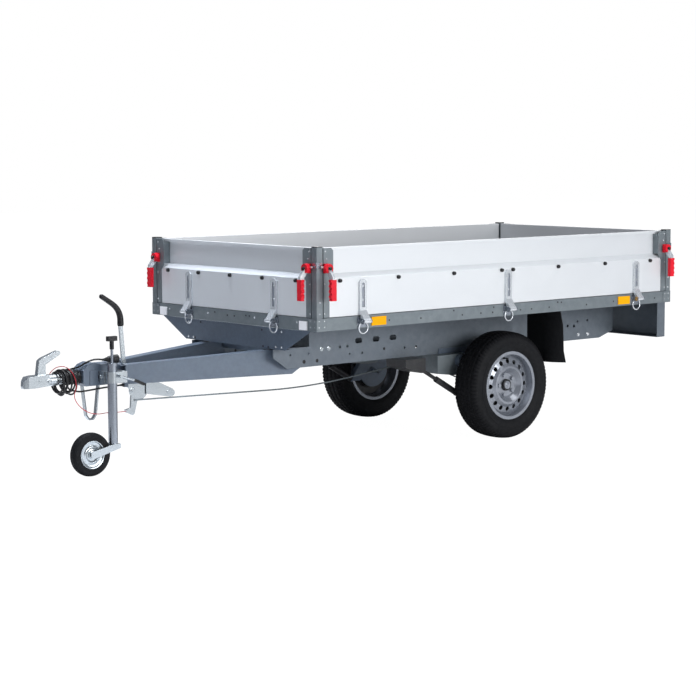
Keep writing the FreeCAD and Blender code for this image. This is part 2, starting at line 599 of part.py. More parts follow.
def hinge_straps(side):
    """Slotted straps on the board's face that reach down and round the hinge pins."""
    made = []
    face = "board_inset"
    front = "board_inset - strap_proud"
    for number, along in enumerate(side.hinges):
        name = "%sStrap%d" % (side.name.title(), number)
        span = (along + " - strap_wid / 2", along + " + strap_wid / 2")
        corners = [(front, "board_low + strap_top"), (face, "board_low + strap_top"),
                   (face, "board_low + slot_low / 3"), ("-pin_out + 8", "pin_z - 4"),
                   ("-pin_out - 8", "pin_z + 4"), (front, "board_low + slot_low * 0.6")]
        strap = slab(name, side.section, side.outline(corners), *span)
        eye = rod(name + "Eye", side.bar_axis(), side.point(span[0], "-pin_out", "pin_z"),
                  "eye_rad", "strap_wid")
        low = "board_low + slot_low"
        top = "board_low + slot_top"
        half = "strap_slot / 2"
        window = [(along + " - " + half, low), (along + " - " + half, top + " - " + half),
                  (along + " - " + half + " / 2", top), (along + " + " + half + " / 2", top),
                  (along + " + " + half, top + " - " + half), (along + " + " + half, low)]
        slot = slab(name + "Slot", side.face, window, *side.across("-pin_out", "board_inset + 1"))
        shoulders = []
        for end, sign in (("Low", "-"), ("High", "+")):
            edge = "%s %s strap_wid / 2" % (along, sign)
            trim = "%s %s (strap_wid / 2 - strap_cut)" % (along, sign)
            wedge = [(edge + " %s 1" % sign, "board_low + strap_top - strap_cut"),
                     (edge + " %s 1" % sign, "board_low + strap_top + 1"),
                     (trim, "board_low + strap_top + 1"), (trim, "board_low + strap_top"),
                     (edge, "board_low + strap_top - strap_cut")]
            shoulders.append(slab(name + "Trim" + end, side.face, wedge,
                                  *side.across("-pin_out", "board_inset + 1")))
        bore = rod(name + "Bore", side.bar_axis(), side.point(span[0] + " - 1", "-pin_out", "pin_z"),
                   "pin_rad + pin_clear", "strap_wid + 2")
        made.append(cut(name + "Whole", fuse(name + "Solid", [strap, eye]),
                        group(name + "Cutters", [slot, bore] + shoulders)))
    return made


GRIP_RIBS = 4


def latches(side):
    """Grips and cams of the two latches at the board's ends, and the necks and links between."""
    red = []
    plain = []
    for end in (0, 1):
        name = "%sLatch%d" % (side.name.title(), end)
        middle = side.from_end(end, "latch_from_end")
        grip = slab(name + "Grip", side.face, grip_outline(side, end),
                    *side.across("-latch_proud", "-latch_proud + grip_deep"))
        seat = side.box(name + "Seat", (middle + " - seat_half", middle + " + seat_half"),
                        ("-cam_seat", "0"), ("cam_z - cam_rad", "cam_z + cam_rad"))
        cam = rod(name + "Cam", side.out_axis(), side.across_base(middle, "-cam_seat - cam_deep",
                                                                  "-cam_seat", "cam_z"),
                  "cam_rad", "cam_deep")
        grip_top = "board_low + grip_low + grip_tall"
        back = "-latch_proud + grip_deep"
        bend = [("-latch_proud", grip_top + " - 2"), (back, grip_top + " - 2"),
                ("-cam_seat - cam_deep + neck_thick", "cam_z - cam_rad"),
                ("-cam_seat - cam_deep + neck_thick", "cam_z"), ("-cam_seat - cam_deep", "cam_z"),
                ("-latch_proud", grip_top + " + neck_thick")]
        neck = slab(name + "Neck", side.section, side.outline(bend),
                    middle + " - neck_half", middle + " + neck_half")
        link = side.box(name + "Link", side.end_span(end, "post_side / 2", "latch_from_end"),
                        ("-catch_thick - link_clear - link_thick", "-catch_thick - link_clear"),
                        ("cam_z + 2", "cam_z + 2 + link_tall"))
        solid = fuse(name + "Whole", [fuse(name + "Head", [seat, cam]), grip])
        red.append(solid)
        plain.append(cut(name + "Bars", fuse(name + "NeckLink", [neck, link]), solid))
    return red, plain


def grip_outline(side, end):
    """Outline of a grip with finger ribs on the edge that faces the corner."""
    near = side.from_end(end, "latch_from_end - grip_wid / 2")
    groove = side.from_end(end, "latch_from_end - grip_wid / 2 + rib_deep")
    far = side.from_end(end, "latch_from_end + grip_wid / 2")
    base = "board_low + grip_low"
    corners = [(far, base), (far, base + " + grip_tall")]
    step = "grip_tall / %d" % (2 * GRIP_RIBS)
    for rib in reversed(range(GRIP_RIBS)):
        top = "%s + %d * %s" % (base, 2 * rib + 2, step)
        low = "%s + %d * %s" % (base, 2 * rib + 1, step)
        corners += [(near, top), (near, low + " + rib_deep"), (groove, low)]
        corners += [(groove, "%s + %d * %s + rib_deep" % (base, 2 * rib, step))]
    corners.append((near, base))
    return corners


def hinge_brackets(side):
    """Brackets on the rail, each with two ears, a hinge pin and a hook for the lashing ring."""
    made = []
    for number, along in enumerate(side.hinges):
        name = "%sBracket%d" % (side.name.title(), number)
        parts = [side.box(name + "Base", (along + " - base_half", along + " + base_half"),
                          ("-base_thick", "0"), ("rail_low + base_edge", "rail_top - base_edge"))]
        for sign, tag in (("-", "L"), ("+", "R")):
            near = "%s %s ear_half" % (along, sign)
            far = "%s %s (ear_half + ear_thick)" % (along, sign)
            span = (far, near) if sign == "-" else (near, far)
            parts.append(side.box(name + "Ear" + tag, span, ("-pin_out", "-base_thick"),
                                  ("pin_z - ear_rad", "pin_z + ear_rad")))
            parts.append(rod(name + "Boss" + tag, side.bar_axis(),
                             side.point(span[0], "-pin_out", "pin_z"), "ear_rad", "ear_thick"))
        reach = "(ear_half + ear_thick + pin_end)"
        parts.append(rod(name + "Pin", side.bar_axis(),
                         side.point("%s - %s" % (along, reach), "-pin_out", "pin_z"),
                         "pin_rad", "2 * " + reach))
        parts.append(side.box(name + "Hook", (along + " - hook_half", along + " + hook_half"),
                              ("-base_thick - 2 * ring_bar - hook_lip", "-base_thick"),
                              ("hook_top - hook_tall", "hook_top")))
        made.append(fuse(name + "Whole", parts))
    return made


def lashing_rings(side):
    """Round rings that hang on the brackets' hooks."""
    made = []
    for number, along in enumerate(side.hinges):
        ring = doc.addObject("Part::Torus", "%sRing%d" % (side.name.title(), number))
        ring.setExpression("Radius1", bound("ring_rad"))
        ring.setExpression("Radius2", bound("ring_bar"))
        turn = ((1, 0, 0), "90") if side.section == "YZ" else ((0, 1, 0), "90")
        place(ring, side.point(along, "-base_thick - ring_bar - seat_clear", "ring_z"), turn)
        made.append(ring)
    return made


def build_sides():
    """Four drop sides with their plates, straps and latches, and what they hang on."""
    brackets = []
    rings = []
    for row in SIDES:
        side = Side(*row)
        node(board_panel(side), "%s_board" % side.name)
        title = side.name.title()
        red, plain = latches(side)
        node(group(title + "Plates", end_plates(side)), "%s_end_plates" % side.name)
        node(group(title + "Fittings", hinge_straps(side) + plain), "%s_fittings" % side.name)
        node(group(title + "Latches", red), "%s_latches" % side.name)
        brackets += hinge_brackets(side)
        rings += lashing_rings(side)
    node(group("HingeBrackets", brackets), "hinge_brackets")
    node(group("LashingRings", rings), "lashing_rings")

    catches = []
    height = ("board_low + catch_low", "board_low + catch_low + catch_tall")
    for x_end, x_face, x_span in ((0, ("rear_x - catch_thick", "rear_x"),
                                   ("rear_x - catch_thick", "rear_x + catch_wid")),
                                  (1, ("front_x", "front_x + catch_thick"),
                                   ("front_x - catch_wid", "front_x + catch_thick"))):
        for y_end, y_face, y_span in ((0, ("-half_wid - catch_thick", "-half_wid"),
                                       ("-half_wid - catch_thick", "-half_wid + catch_wid")),
                                      (1, ("half_wid", "half_wid + catch_thick"),
                                       ("half_wid - catch_wid", "half_wid + catch_thick"))):
            name = "Catch%d%d" % (x_end, y_end)
            one = block(name + "End", (x_face[0], y_span[0], height[0]), (x_face[1], y_span[1], height[1]))
            two = block(name + "Side", (x_span[0], y_face[0], height[0]), (x_span[1], y_face[1], height[1]))
            catches.append(fuse(name, [one, two]))
    node(group("LatchCatches", catches), "latch_catches")


# Wheels and axle
HAND_HOLES = 16
WHEEL_BOLTS = 5


def pierce(body):
    """Ring of round holes through a rim's disc."""
    drawn = body.newObject("Sketcher::SketchObject", body.Name + "HoleSketch")
    face = [o for o in body.Origin.OriginFeatures if o.Role == PLANE_ROLE["XZ"]][0]
    drawn.AttachmentSupport = [(face, "")]
    drawn.MapMode = "FlatFace"
    start = FreeCAD.Vector(num("hole_ring"), 0, 0)
    drawn.addGeometry(Part.Circle(start, FreeCAD.Vector(0, 0, 1), num("hole_rad")), False)
    drawn.addConstraint(Sketcher.Constraint("PointOnObject", 0, 3, -1))
    across = drawn.addConstraint(Sketcher.Constraint("DistanceX", -1, 1, 0, 3, start.x))
    drawn.setExpression("Constraints[%d]" % across, bound("hole_ring"))
    size = drawn.addConstraint(Sketcher.Constraint("Radius", 0, num("hole_rad")))
    drawn.setExpression("Constraints[%d]" % size, bound("hole_rad"))
    hole = body.newObject("PartDesign::Pocket", body.Name + "Hole")
    hole.Profile = drawn
    hole.Type = 1
    hole.Midplane = True
    ring = body.newObject("PartDesign::PolarPattern", body.Name + "Ring")
    ring.Originals = [hole]
    ring.Axis = (drawn, ["N_Axis"])
    ring.Angle = 360
    ring.Occurrences = HAND_HOLES
    body.Tip = ring


def wheel_bolts(title):
    """Six-sided bolt heads on the rim's inner ring."""
    made = []
    for number in range(WHEEL_BOLTS):
        angle = number * 360.0 / WHEEL_BOLTS
        bolt = doc.addObject("Part::Prism", "%sBolt%d" % (title, number))
        bolt.Polygon = 6
        bolt.setExpression("Circumradius", bound("bolt_rad"))
        bolt.setExpression("Height", bound("bolt_tall"))
        made.append(place(bolt, ("bolt_ring * cos(%g deg)" % angle, "rim_offset + disc_thick",
                                 "bolt_ring * sin(%g deg)" % angle), AXIS_TURN["Y"]))
    return made


def build_wheels():
    """Two road wheels: tyre, pressed rim, and hub with brake drum and dust cap."""
    half = "rim_wid / 2"
    bead = half + " - 4"
    tyre = [("-(%s)" % bead, "rim_rad"), ("-(%s)" % bead, "rim_flange_rad + 1"),
            ("-tyre_wid * 0.46", "rim_flange_rad + 10"), ("-tyre_wid / 2", "tyre_rad - 63"),
            ("-tyre_wid * 0.485", "tyre_rad - 36"), ("-tyre_wid * 0.43", "tyre_rad - 13"),
            ("-tyre_wid * 0.36", "tyre_rad - 3"), ("0", "tyre_rad"),
            ("tyre_wid * 0.36", "tyre_rad - 3"), ("tyre_wid * 0.43", "tyre_rad - 13"),
            ("tyre_wid * 0.485", "tyre_rad - 36"), ("tyre_wid / 2", "tyre_rad - 63"),
            ("tyre_wid * 0.46", "rim_flange_rad + 10"), (bead, "rim_flange_rad + 1"), (bead, "rim_rad")]
    barrel = [("-(%s)" % half, "rim_rad - rim_wall"), ("-(%s)" % half, "rim_flange_rad"),
              ("-(%s)" % bead, "rim_flange_rad"), ("-(%s)" % bead, "rim_rad"), (bead, "rim_rad"),
              (bead, "rim_flange_rad"), (half, "rim_flange_rad"), (half, "rim_rad - rim_wall")]
    face = "rim_offset + disc_thick"
    front = [("2", "rim_rad - rim_wall"), ("14", "rim_rad - 26"), ("22", "rim_rad - 56"),
             ("36", "rim_rad - 72"), ("37", "rim_rad - 84"), ("12", "rim_rad - 104"),
             ("disc_thick", "cap_rad + 33"), ("disc_thick", "cap_rad + 1")]
    disc = [("rim_offset + " + out, radius) for out, radius in front]
    disc += [("rim_offset + %s - disc_thick" % out, radius) for out, radius in reversed(front)]
    bore = "stub_rad + shaft_clear"
    hub = [("-drum_in", bore), ("-drum_in", "drum_rad"), ("drum_wid - drum_in", "drum_rad"),
           ("rim_offset - 6", "cap_rad + 30"), ("rim_offset", "cap_rad + 30"), ("rim_offset", "cap_rad"),
           ("cap_out", "cap_rad - 3"), ("cap_out + 5", "cap_rad - 10"), ("cap_out + 5", "0"),
           ("stub_len - drum_in - 2", "0"), ("stub_len - drum_in - 2", bore)]
    for name, y, turn in (("left", "track / 2", None), ("right", "-track / 2", ((0, 0, 1), "180"))):
        base = ("wheel_x", y, "tyre_rad")
        title = name.title()
        node(turned(title + "Tyre", tyre, base, turn), "tyre_" + name)
        disc_body = turned(title + "Disc", disc)
        pierce(disc_body)
        rim = fuse(title + "Rim", [turned(title + "Barrel", barrel), disc_body] + wheel_bolts(title))
        node(place(rim, base, turn), "rim_" + name)
        node(turned(title + "Hub", hub, base, turn), "hub_" + name)


def build_axle():
    """Rubber-sprung axle: six-sided tube with its seats, trailing arms with stub axles, dampers."""
    tube = [("torsion_x + torsion_rad / 2", "torsion_up + torsion_flat"),
            ("torsion_x + torsion_rad", "torsion_up"),
            ("torsion_x + torsion_rad / 2", "torsion_up - torsion_flat"),
            ("torsion_x - torsion_rad / 2", "torsion_up - torsion_flat"),
            ("torsion_x - torsion_rad", "torsion_up"),
            ("torsion_x - torsion_rad / 2", "torsion_up + torsion_flat")]
    beam = slab("AxleTube", "XZ", tube, "-torsion_half", "torsion_half")
    seat = [("torsion_x + seat_fwd", "beam_low"), ("torsion_x + seat_fwd", "seat_low + beam_wall * 4"),
            ("torsion_x + torsion_rad", "seat_low"), ("torsion_x - torsion_rad", "seat_low"),
            ("torsion_x - seat_back", "seat_low + beam_wall * 4"), ("torsion_x - seat_back", "beam_low")]
    seats = [slab("SeatLeft", "XZ", seat, "beam_out - beam_flange", "torsion_half"),
             slab("SeatRight", "XZ", seat, "-torsion_half", "beam_flange - beam_out")]
    node(fuse("AxleBeam", [beam] + seats), "axle_beam")

    half = "arm_wid * 0.42"
    arm = slab("ArmPlate", "XZ", [("0", "-" + half), ("arm_len", "-arm_wid / 2"),
                                  ("arm_len", "arm_wid / 2"), ("0", half)], "0", "arm_thick")
    place(arm, ("wheel_x", "torsion_half", "tyre_rad"), ((0, 1, 0), "-arm_turn"))
    eye = rod("ArmEye", "Y", ("torsion_x", "torsion_half", "torsion_up"), "arm_wid / 2 + 3", "arm_thick")
    tip = rod("ArmTip", "Y", ("wheel_x", "torsion_half", "tyre_rad"), half, "arm_thick")
    stub = rod("Stub", "Y", ("wheel_x", "torsion_half + arm_thick", "tyre_rad"), "stub_rad",
               "track / 2 - drum_in + stub_len - 4 - torsion_half - arm_thick")
    side_cos = "shock_rad * cos(shock_turn)"
    side_sin = "shock_rad * sin(shock_turn)"
    foot_x = "shock_x - seat_clear * sin(shock_turn)"
    foot_z = "shock_low_up - seat_clear * cos(shock_turn)"
    lug = slab("ArmLug", "XZ", [("wheel_x + arm_len * 0.3", "tyre_rad + arm_wid / 2"),
                                ("wheel_x + arm_len * 0.62", "tyre_rad + arm_wid * 1.25"),
                                (foot_x + " - " + side_cos, foot_z + " + " + side_sin),
                                (foot_x + " + " + side_cos, foot_z + " - " + side_sin),
                                (foot_x + " - 4 * lug_half", foot_z + " - " + side_sin)],
               "torsion_half", "torsion_half + arm_thick")
    backplate = rod("Backplate", "Y", ("wheel_x", "backplate_in", "tyre_rad"), "plate_rad",
                    "backplate_thick")
    node(both_sides("SwingArms", fuse("ArmLeft", [arm, eye, tip, stub, lug, backplate])), "swing_arms")

    body_len = "shock_len * shock_share"
    damper = rod("DamperBody", "Z", ("0", "0", "0"), "shock_rad", body_len)
    shaft = rod("DamperRod", "Z", ("0", "0", body_len), "shock_rad * 0.6", "shock_len - " + body_len)
    whole = fuse("DamperLeft", [damper, shaft])
    place(whole, ("shock_x", "arm_mid", "shock_low_up"), ((0, 1, 0), "shock_turn"))
    top = "torsion_x + shock_fwd"
    mount = slab("DamperMount", "XZ", [(top + " - lug_half", "shock_up - lug_half"),
                                       (top + " + lug_half", "shock_up - lug_half"),
                                       (top + " + hanger_len", "beam_low - beam_flange"),
                                       (top + " + hanger_len", "beam_low"),
                                       (top + " - lug_half", "beam_low")],
                 "beam_out - beam_flange", "arm_mid + shock_rad")
    node(both_sides("Dampers", fuse("DamperSet", [whole, mount])), "shock_absorbers")


# Overrun hitch with coupling, lever and loop
# Profiles as rows of (ahead of the bed's front, up)
HOUSING = [
    ("body_rear", "body_low"), ("body_rear", "body_top - 28"), ("body_rear + 20", "body_top"),
    ("body_rear + 100", "body_top"), ("body_rear + 125", "shelf_top"),
    ("body_front - 105", "shelf_top"), ("body_front - 65", "hump_top"),
    ("body_front - 30", "shelf_top"), ("body_front", "tube_up + bellows_rad + 5"),
    ("body_front", "body_low + 15"), ("body_front - 15", "body_low"),
]
HEAD_NOSE = [
    ("head_rear + 60", "lip_up + 6"), ("hitch_reach - ball_back - ball_rad - 6", "lip_up"),
    ("hitch_reach - 6", "lip_up"), ("hitch_reach", "lip_up + 12"), ("hitch_reach - 4", "dome_top - 22"),
    ("hitch_reach - 24", "dome_top"), ("hitch_reach - 62", "dome_top + 4"),
    ("head_rear + 60", "tube_up + head_half"),
]
# Half of the head's outline from above: ahead, out
HEAD_PLAN = [
    ("head_rear + 60", "head_half"), ("hitch_reach - 50", "head_half"), ("hitch_reach - 27", "head_half - 4"),
    ("hitch_reach - 10", "head_half - 12"), ("hitch_reach", "head_half - 22"),
]
COUPLING_HANDLE = [
    ("head_rear + 70", "tube_up + head_half - 1"), ("head_rear + 118", "tube_up + head_half - 5"),
    ("head_rear + 107", "handle_top - 43"), ("head_rear + 96", "handle_top - 34"),
    ("head_rear + 84", "handle_top - 28"), ("head_rear", "handle_top"), ("head_rear - 10", "handle_top - 1"),
    ("head_rear - 16", "handle_top - 8"), ("head_rear - 15", "handle_top - 17"),
    ("head_rear - 8", "handle_top - 22"), ("head_rear + 70", "handle_top - 64"),
]
BRAKE_LEVER = [
    ("body_rear + 37", "body_top"), ("body_rear + 60", "body_top"),
    ("body_rear + 75", "lever_top"), ("body_rear + 53", "lever_top"),
]
QUADRANT_ARM = [
    ("quad_fwd - 10", "quad_up"), ("quad_fwd - 40", "body_low"), ("body_rear + 52", "body_low"),
    ("body_rear + 52", "body_low - 16"), ("quad_fwd + 50", "quad_up"),
]
QUADRANT_TONGUE = [
    ("quad_fwd + 6", "quad_up - 40"), ("quad_fwd + 28", "quad_up - 122"),
    ("quad_fwd + 40", "quad_up - 131"), ("quad_fwd + 84", "quad_up - 111"),
    ("quad_fwd + 86", "quad_up - 99"), ("quad_fwd + 52", "quad_up - 92"),
    ("quad_fwd + 48", "quad_up - 30"),
]
SKID_LOOP = [
    ("loop_fwd + 52", "body_low"), ("loop_fwd + 32", "loop_low + 23"), ("loop_fwd + 14", "loop_low"),
    ("loop_fwd - 14", "loop_low"), ("loop_fwd - 32", "loop_low + 23"), ("loop_fwd - 52", "body_low"),
    ("loop_fwd - 44", "body_low"), ("loop_fwd - 25", "loop_low + 26"), ("loop_fwd - 10", "loop_low + 7"),
    ("loop_fwd + 10", "loop_low + 7"), ("loop_fwd + 25", "loop_low + 26"), ("loop_fwd + 44", "body_low"),
]
# Middle line of the lever's bent grip, from the lever's top: ahead, up
GRIP_LINE = [(0, 0), (0, 42), (13, 82), (49, 116), (120, 160)]
BELLOWS_FOLDS = 5


def ahead(profile):
    """Profile rows measured from the bed's front, put in the shared frame."""
    return [("front_x + " + forward, up) for forward, up in profile]


def at(forward, out, up):
    """Point of a bar or cord, from expressions or numbers."""
    return tuple(num(str(v)) for v in ("front_x + (%s)" % forward, out, up))


def build_hitch():
    """Housing, draw tube with bellows, ball coupling, handbrake and cable loop."""
    casting = slab("HitchCasting", "XZ", ahead(HOUSING), "-body_half", "body_half")
    gland = block("LeadGland", ("front_x + gland_fwd", "gland_out - gland_half", "body_low - gland_tall"),
                  ("front_x + gland_fwd + gland_len", "gland_out + gland_half", "body_low"))
    node(fuse("HitchHousing", [casting, gland]), "overrun_housing")

    fold = "bellows_len / %d" % BELLOWS_FOLDS
    skin = [("0", "tube_rad + bore_clear"), ("0", "bellows_rad")]
    for number in range(BELLOWS_FOLDS):
        skin.append(("%g * %s" % (number + 0.5, fold), "bellows_rad - fold_deep"))
        skin.append(("%d * %s" % (number + 1, fold), "bellows_rad"))
    skin.append(("bellows_len", "tube_rad + bore_clear"))
    node(turned("Bellows", skin, ("front_x + body_front", "0", "tube_up"), FORWARD_TURN), "bellows")

    tube = rod("DrawTube", "X", ("front_x + body_front", "0", "tube_up"), "tube_rad",
               "head_rear - body_front + 1")
    sleeve = rod("HeadSleeve", "X", ("front_x + head_rear", "0", "tube_up"), "head_half", "sleeve_len")
    side_view = slab("HeadSideView", "XZ", ahead(HEAD_NOSE), "-head_half", "head_half")
    half_plan = ahead(HEAD_PLAN)
    plan = half_plan + [(x, "-(%s)" % out) for x, out in reversed(half_plan)]
    nose = common("HeadNose", [side_view, slab("HeadPlan", "XY", plan, "lip_up - 1", "dome_top + 9")])
    handle = slab("CouplingHandle", "XZ", ahead(COUPLING_HANDLE), "-handle_half", "handle_half")
    socket = rod("HeadSocket", "Z", ("ball_x", "0", "lip_up - 1"), "ball_rad", "ball_deep + 1")
    node(cut("CouplingHead", fuse("HeadSolid", [tube, sleeve, nose, handle]), socket), "coupling_head")

    lever = slab("BrakeLever", "XZ", ahead(BRAKE_LEVER), "-lever_half", "lever_half")
    line = [at("body_rear + 64 + %g" % forward, 0, "lever_top + %g" % up) for forward, up in GRIP_LINE]
    node(path_solid("BrakeGrip", line, num("grip_rad")), "handbrake_grip")

    plate = rod("QuadrantPlate", "Y", ("front_x + quad_fwd", "-quad_half", "quad_up"), "quad_rad",
                "2 * quad_half")
    arm = slab("QuadrantArm", "XZ", ahead(QUADRANT_ARM), "-quad_half", "quad_half")
    tongue = slab("QuadrantTongue", "XZ", ahead(QUADRANT_TONGUE), "-quad_half", "quad_half")
    node(group("BrakeLevers", [lever, fuse("BrakeQuadrant", [plate, arm, tongue])]), "handbrake_lever")
    node(slab("SkidLoop", "XZ", ahead(SKID_LOOP), "-loop_half", "loop_half"), "skid_loop")

    rod_out = num("quad_half + rod_rad")
    low = num("torsion_up - torsion_flat")
    pull = path_solid("BrakePull", [at("quad_fwd + 30", rod_out, "quad_up - 53"),
                                    at("-hanger_back", rod_out, "rod_low"),
                                    (num("torsion_x + bar_fwd - 5"), rod_out, low - 18)], num("rod_rad"))
    hanger = block("Hanger", ("torsion_x - bar_thick", "-hanger_half", "torsion_up - torsion_flat - 6"),
                   ("torsion_x + bar_fwd", "hanger_half", "torsion_up - torsion_flat"))
    bar = block("Equaliser", ("torsion_x + bar_fwd - bar_thick", "-bar_half",
                              "torsion_up - torsion_flat - 6 - bar_tall"),
                ("torsion_x + bar_fwd", "bar_half", "torsion_up - torsion_flat - 6"))
    start = num("torsion_x + bar_fwd - bar_thick")
    sheath = num("wheel_x + sheath_fwd")
    inner = num("backplate_in")
    low_end = num("tyre_rad - plate_gap")
    cable = path_solid("BrakeCable", [(start, num("bar_half * 0.8"), low - 18),
                                      (start - num("cable_pull"), num("bar_half * 1.8"), low - 25),
                                      (sheath + 15, inner - num("sheath_reach + cable_dip"), low_end + 36),
                                      (sheath, inner - num("sheath_reach"), low_end),
                                      (sheath, inner, low_end)], num("wire_rad"))
    node(fuse("BrakeRod", [pull, hanger, bar, cable, mirrored("BrakeCableRight", cable)]), "brake_rod")
    node(block("PlugHolder", ("front_x + plug_back", "10", "shelf_top"),
               ("front_x + plug_back + holder_len", "plug_out + plug_rad", "shelf_top + holder_thick")),
         "plug_holder")


# Jockey wheel
def build_jockey():
    """Clamp, sliding tube with its winding handle, fork and small wheel."""
    bore = "jock_tube_rad + clamp_clear"
    outer = "jock_tube_rad + clamp_clear + clamp_wall"
    ring = rod("ClampRing", "Z", ("jock_x", "jock_out", "clamp_low"), outer, "clamp_tall")
    foot = block("ClampFoot", ("jock_x - clamp_rear", "body_half", "clamp_low"),
                 ("jock_x + clamp_fwd", "jock_out - jock_tube_rad", "clamp_low + clamp_tall"))
    cheek = block("ClampCheek", ("jock_x - clamp_rear", "jock_out - jock_tube_rad", "clamp_low"),
                  ("jock_x", "jock_out + clamp_fwd", "clamp_low + clamp_tall"))
    hole = rod("ClampBore", "Z", ("jock_x", "jock_out", "clamp_low - 1"), bore, "clamp_tall + 2")
    stem = rod("ClampScrew", "Y", ("jock_x - clamp_screw_back", "jock_out + clamp_fwd - 1", "clamp_screw_up"),
               "clamp_screw_rad", "clamp_screw_len")
    end_y = num("jock_out + clamp_fwd + clamp_screw_len - clamp_screw_rad - 1")
    start = (num("jock_x - clamp_screw_back"), end_y, num("clamp_screw_up"))
    long = num("clamp_arm_len")
    drop = num("clamp_arm_drop")
    bend = (start[0] - 0.63 * long, end_y, start[2] - 0.55 * drop)
    arm = path_solid("ClampLever", [start, bend, (start[0] - long, end_y, start[2] - drop)],
                     num("lever_rad"))
    solid = fuse("ClampSolid", [ring, foot, cheek, stem, arm])
    node(cut("JockeyClamp", solid, hole), "jockey_clamp")

    tube = rod("JockeyPipe", "Z", ("jock_x", "jock_out", "jock_tube_low"), "jock_tube_rad",
               "jock_tube_top - jock_tube_low")
    collar = rod("JockeyCollar", "Z", ("jock_x", "jock_out", "jock_tube_top - collar_tall"), "collar_rad",
                 "collar_tall")
    spindle = rod("JockeySpindle", "Z", ("jock_x", "jock_out", "jock_tube_top"), "spindle_rad",
                  "knob_low - jock_tube_top")
    node(fuse("JockeyLeg", [tube, collar, spindle]), "jockey_tube")
    shank = rod("CrankShank", "Z", ("jock_x", "jock_out", "knob_low"), "knob_rad",
                "crank_top - knob_low - crank_tall + 1")
    bar = block("CrankBar", ("jock_x - crank_arm / 2", "jock_out - knob_rad", "crank_top - crank_tall"),
                ("jock_x + crank_arm / 2", "jock_out + knob_rad", "crank_top"))
    node(fuse("JockeyCrank", [shank, bar]), "jockey_crank")

    axle_x = "jock_x + jock_trail"
    inner = "jock_wid / 2 + fork_clear"
    top = "jock_tube_low - seat_clear"
    crown = block("ForkCrown", ("jock_x - fork_half", "jock_out - (%s + fork_thick)" % inner, top + " - 8"),
                  ("jock_x + fork_half", "jock_out + %s + fork_thick" % inner, top))
    arm = [("jock_x - fork_half", top), ("jock_x - fork_half", top + " - 22"),
           (axle_x + " - 6", "jock_rad - 18"), (axle_x + " + 16", "jock_rad - 12"),
           (axle_x + " + 16", "jock_rad + 14"), ("jock_x + fork_half", top)]
    parts = [crown]
    for side, low in (("Left", "jock_out + " + inner), ("Right", "jock_out - (%s) - fork_thick" % inner)):
        parts.append(slab("ForkArm" + side, "XZ", arm, low, low + " + fork_thick"))
    parts.append(rod("ForkAxle", "Y", (axle_x, "jock_out - (%s) - 6" % inner, "jock_rad"), "jock_axle_rad",
                     "2 * (%s) + 12" % inner))
    node(fuse("JockeyFork", parts), "jockey_fork")
    half = "jock_wid / 2"
    tyre = [("-(%s)" % half, "jock_rim_rad"), ("-(%s)" % half, "jock_rad - 14"),
            ("-(%s) + 9" % half, "jock_rad - 2"), ("0", "jock_rad"), (half + " - 9", "jock_rad - 2"),
            (half, "jock_rad - 14"), (half, "jock_rim_rad")]
    rim = [("-(%s) + 4" % half, "jock_axle_rad + shaft_clear"), ("-(%s) + 4" % half, "jock_rim_rad"),
           (half + " - 4", "jock_rim_rad"), (half + " - 4", "jock_axle_rad + shaft_clear")]
    base = (axle_x, "jock_out", "jock_rad")
    node(turned("JockeyTyre", tyre, base), "jockey_tyre")
    node(turned("JockeyRim", rim, base), "jockey_rim")


# Reflectors on the rails
def build_reflectors():
    """Amber reflectors on the side rails, white ones on the front rail."""
    made = []
    for number, back in enumerate(("amber_first", "amber_last")):
        for sign, low in (("L", "half_wid"), ("R", "-half_wid - reflector_thick")):
            made.append(block("Amber%d%s" % (number, sign),
                              ("front_x - %s - amber_wid / 2" % back, low, "reflector_low"),
                              ("front_x - %s + amber_wid / 2" % back, low + " + reflector_thick",
                               "reflector_low + reflector_tall")))
    node(group("AmberReflectors", made), "amber_reflectors")
    white = block("White", ("front_x", "white_half - white_wid / 2", "reflector_low - 6"),
                  ("front_x + reflector_thick", "white_half + white_wid / 2",
                   "reflector_low - 6 + reflector_tall"))
    node(both_sides("WhiteReflectors", white), "white_reflectors")


# Cords, as (ahead, out, up) from the bed's front; the lead's coil hangs on the bellows
LEAD_LOWER = [
    ("gland_fwd + gland_len", "gland_out", "gland_up"), ("gland_fwd + 72", "gland_out", "gland_up"),
    ("gland_fwd + 148", "gland_out - 2", "gland_up - 5"),
    ("coil_rear - 100", "gland_out - 5", "gland_up - 9"),
    ("coil_rear - 46", 20, "coil_up - coil_in - 8"), ("coil_rear", 20, "coil_up - coil_in - 8"),
]
LEAD_UPPER = [
    ("plug_back + plug_len", "plug_out", "plug_up"), ("plug_back + 88", "plug_out", "plug_up"),
    ("plug_back + 120", "plug_out - 11", "plug_up + 7"), ("coil_rear - 70", 36, "plug_up + 4"),
    ("coil_rear - 46", 18, "coil_top + 25"), ("coil_rear - 25", 5, "coil_top + 5"),
    ("coil_rear - lead_seat", 0, "coil_top - 7"),
]
BREAKAWAY = [
    (682, "quad_half + tie_rad", 288), (712, 12, 287), (757, 30, 291), (800, 50, 297),
    (845, 66, 300), (893, 74, 298), (940, 76, 306), (985, 76, 328), (1022, 76, 362),
    (1041, 76, 402), (1024, 76, 442), (1026, 74, 484), (1042, 62, 524), (1060, 40, 548),
    (1086, 16, 549), (1112, 0, 534), ("head_rear + 40", 0, "tube_up + head_half + seat_clear + tie_rad"),
]


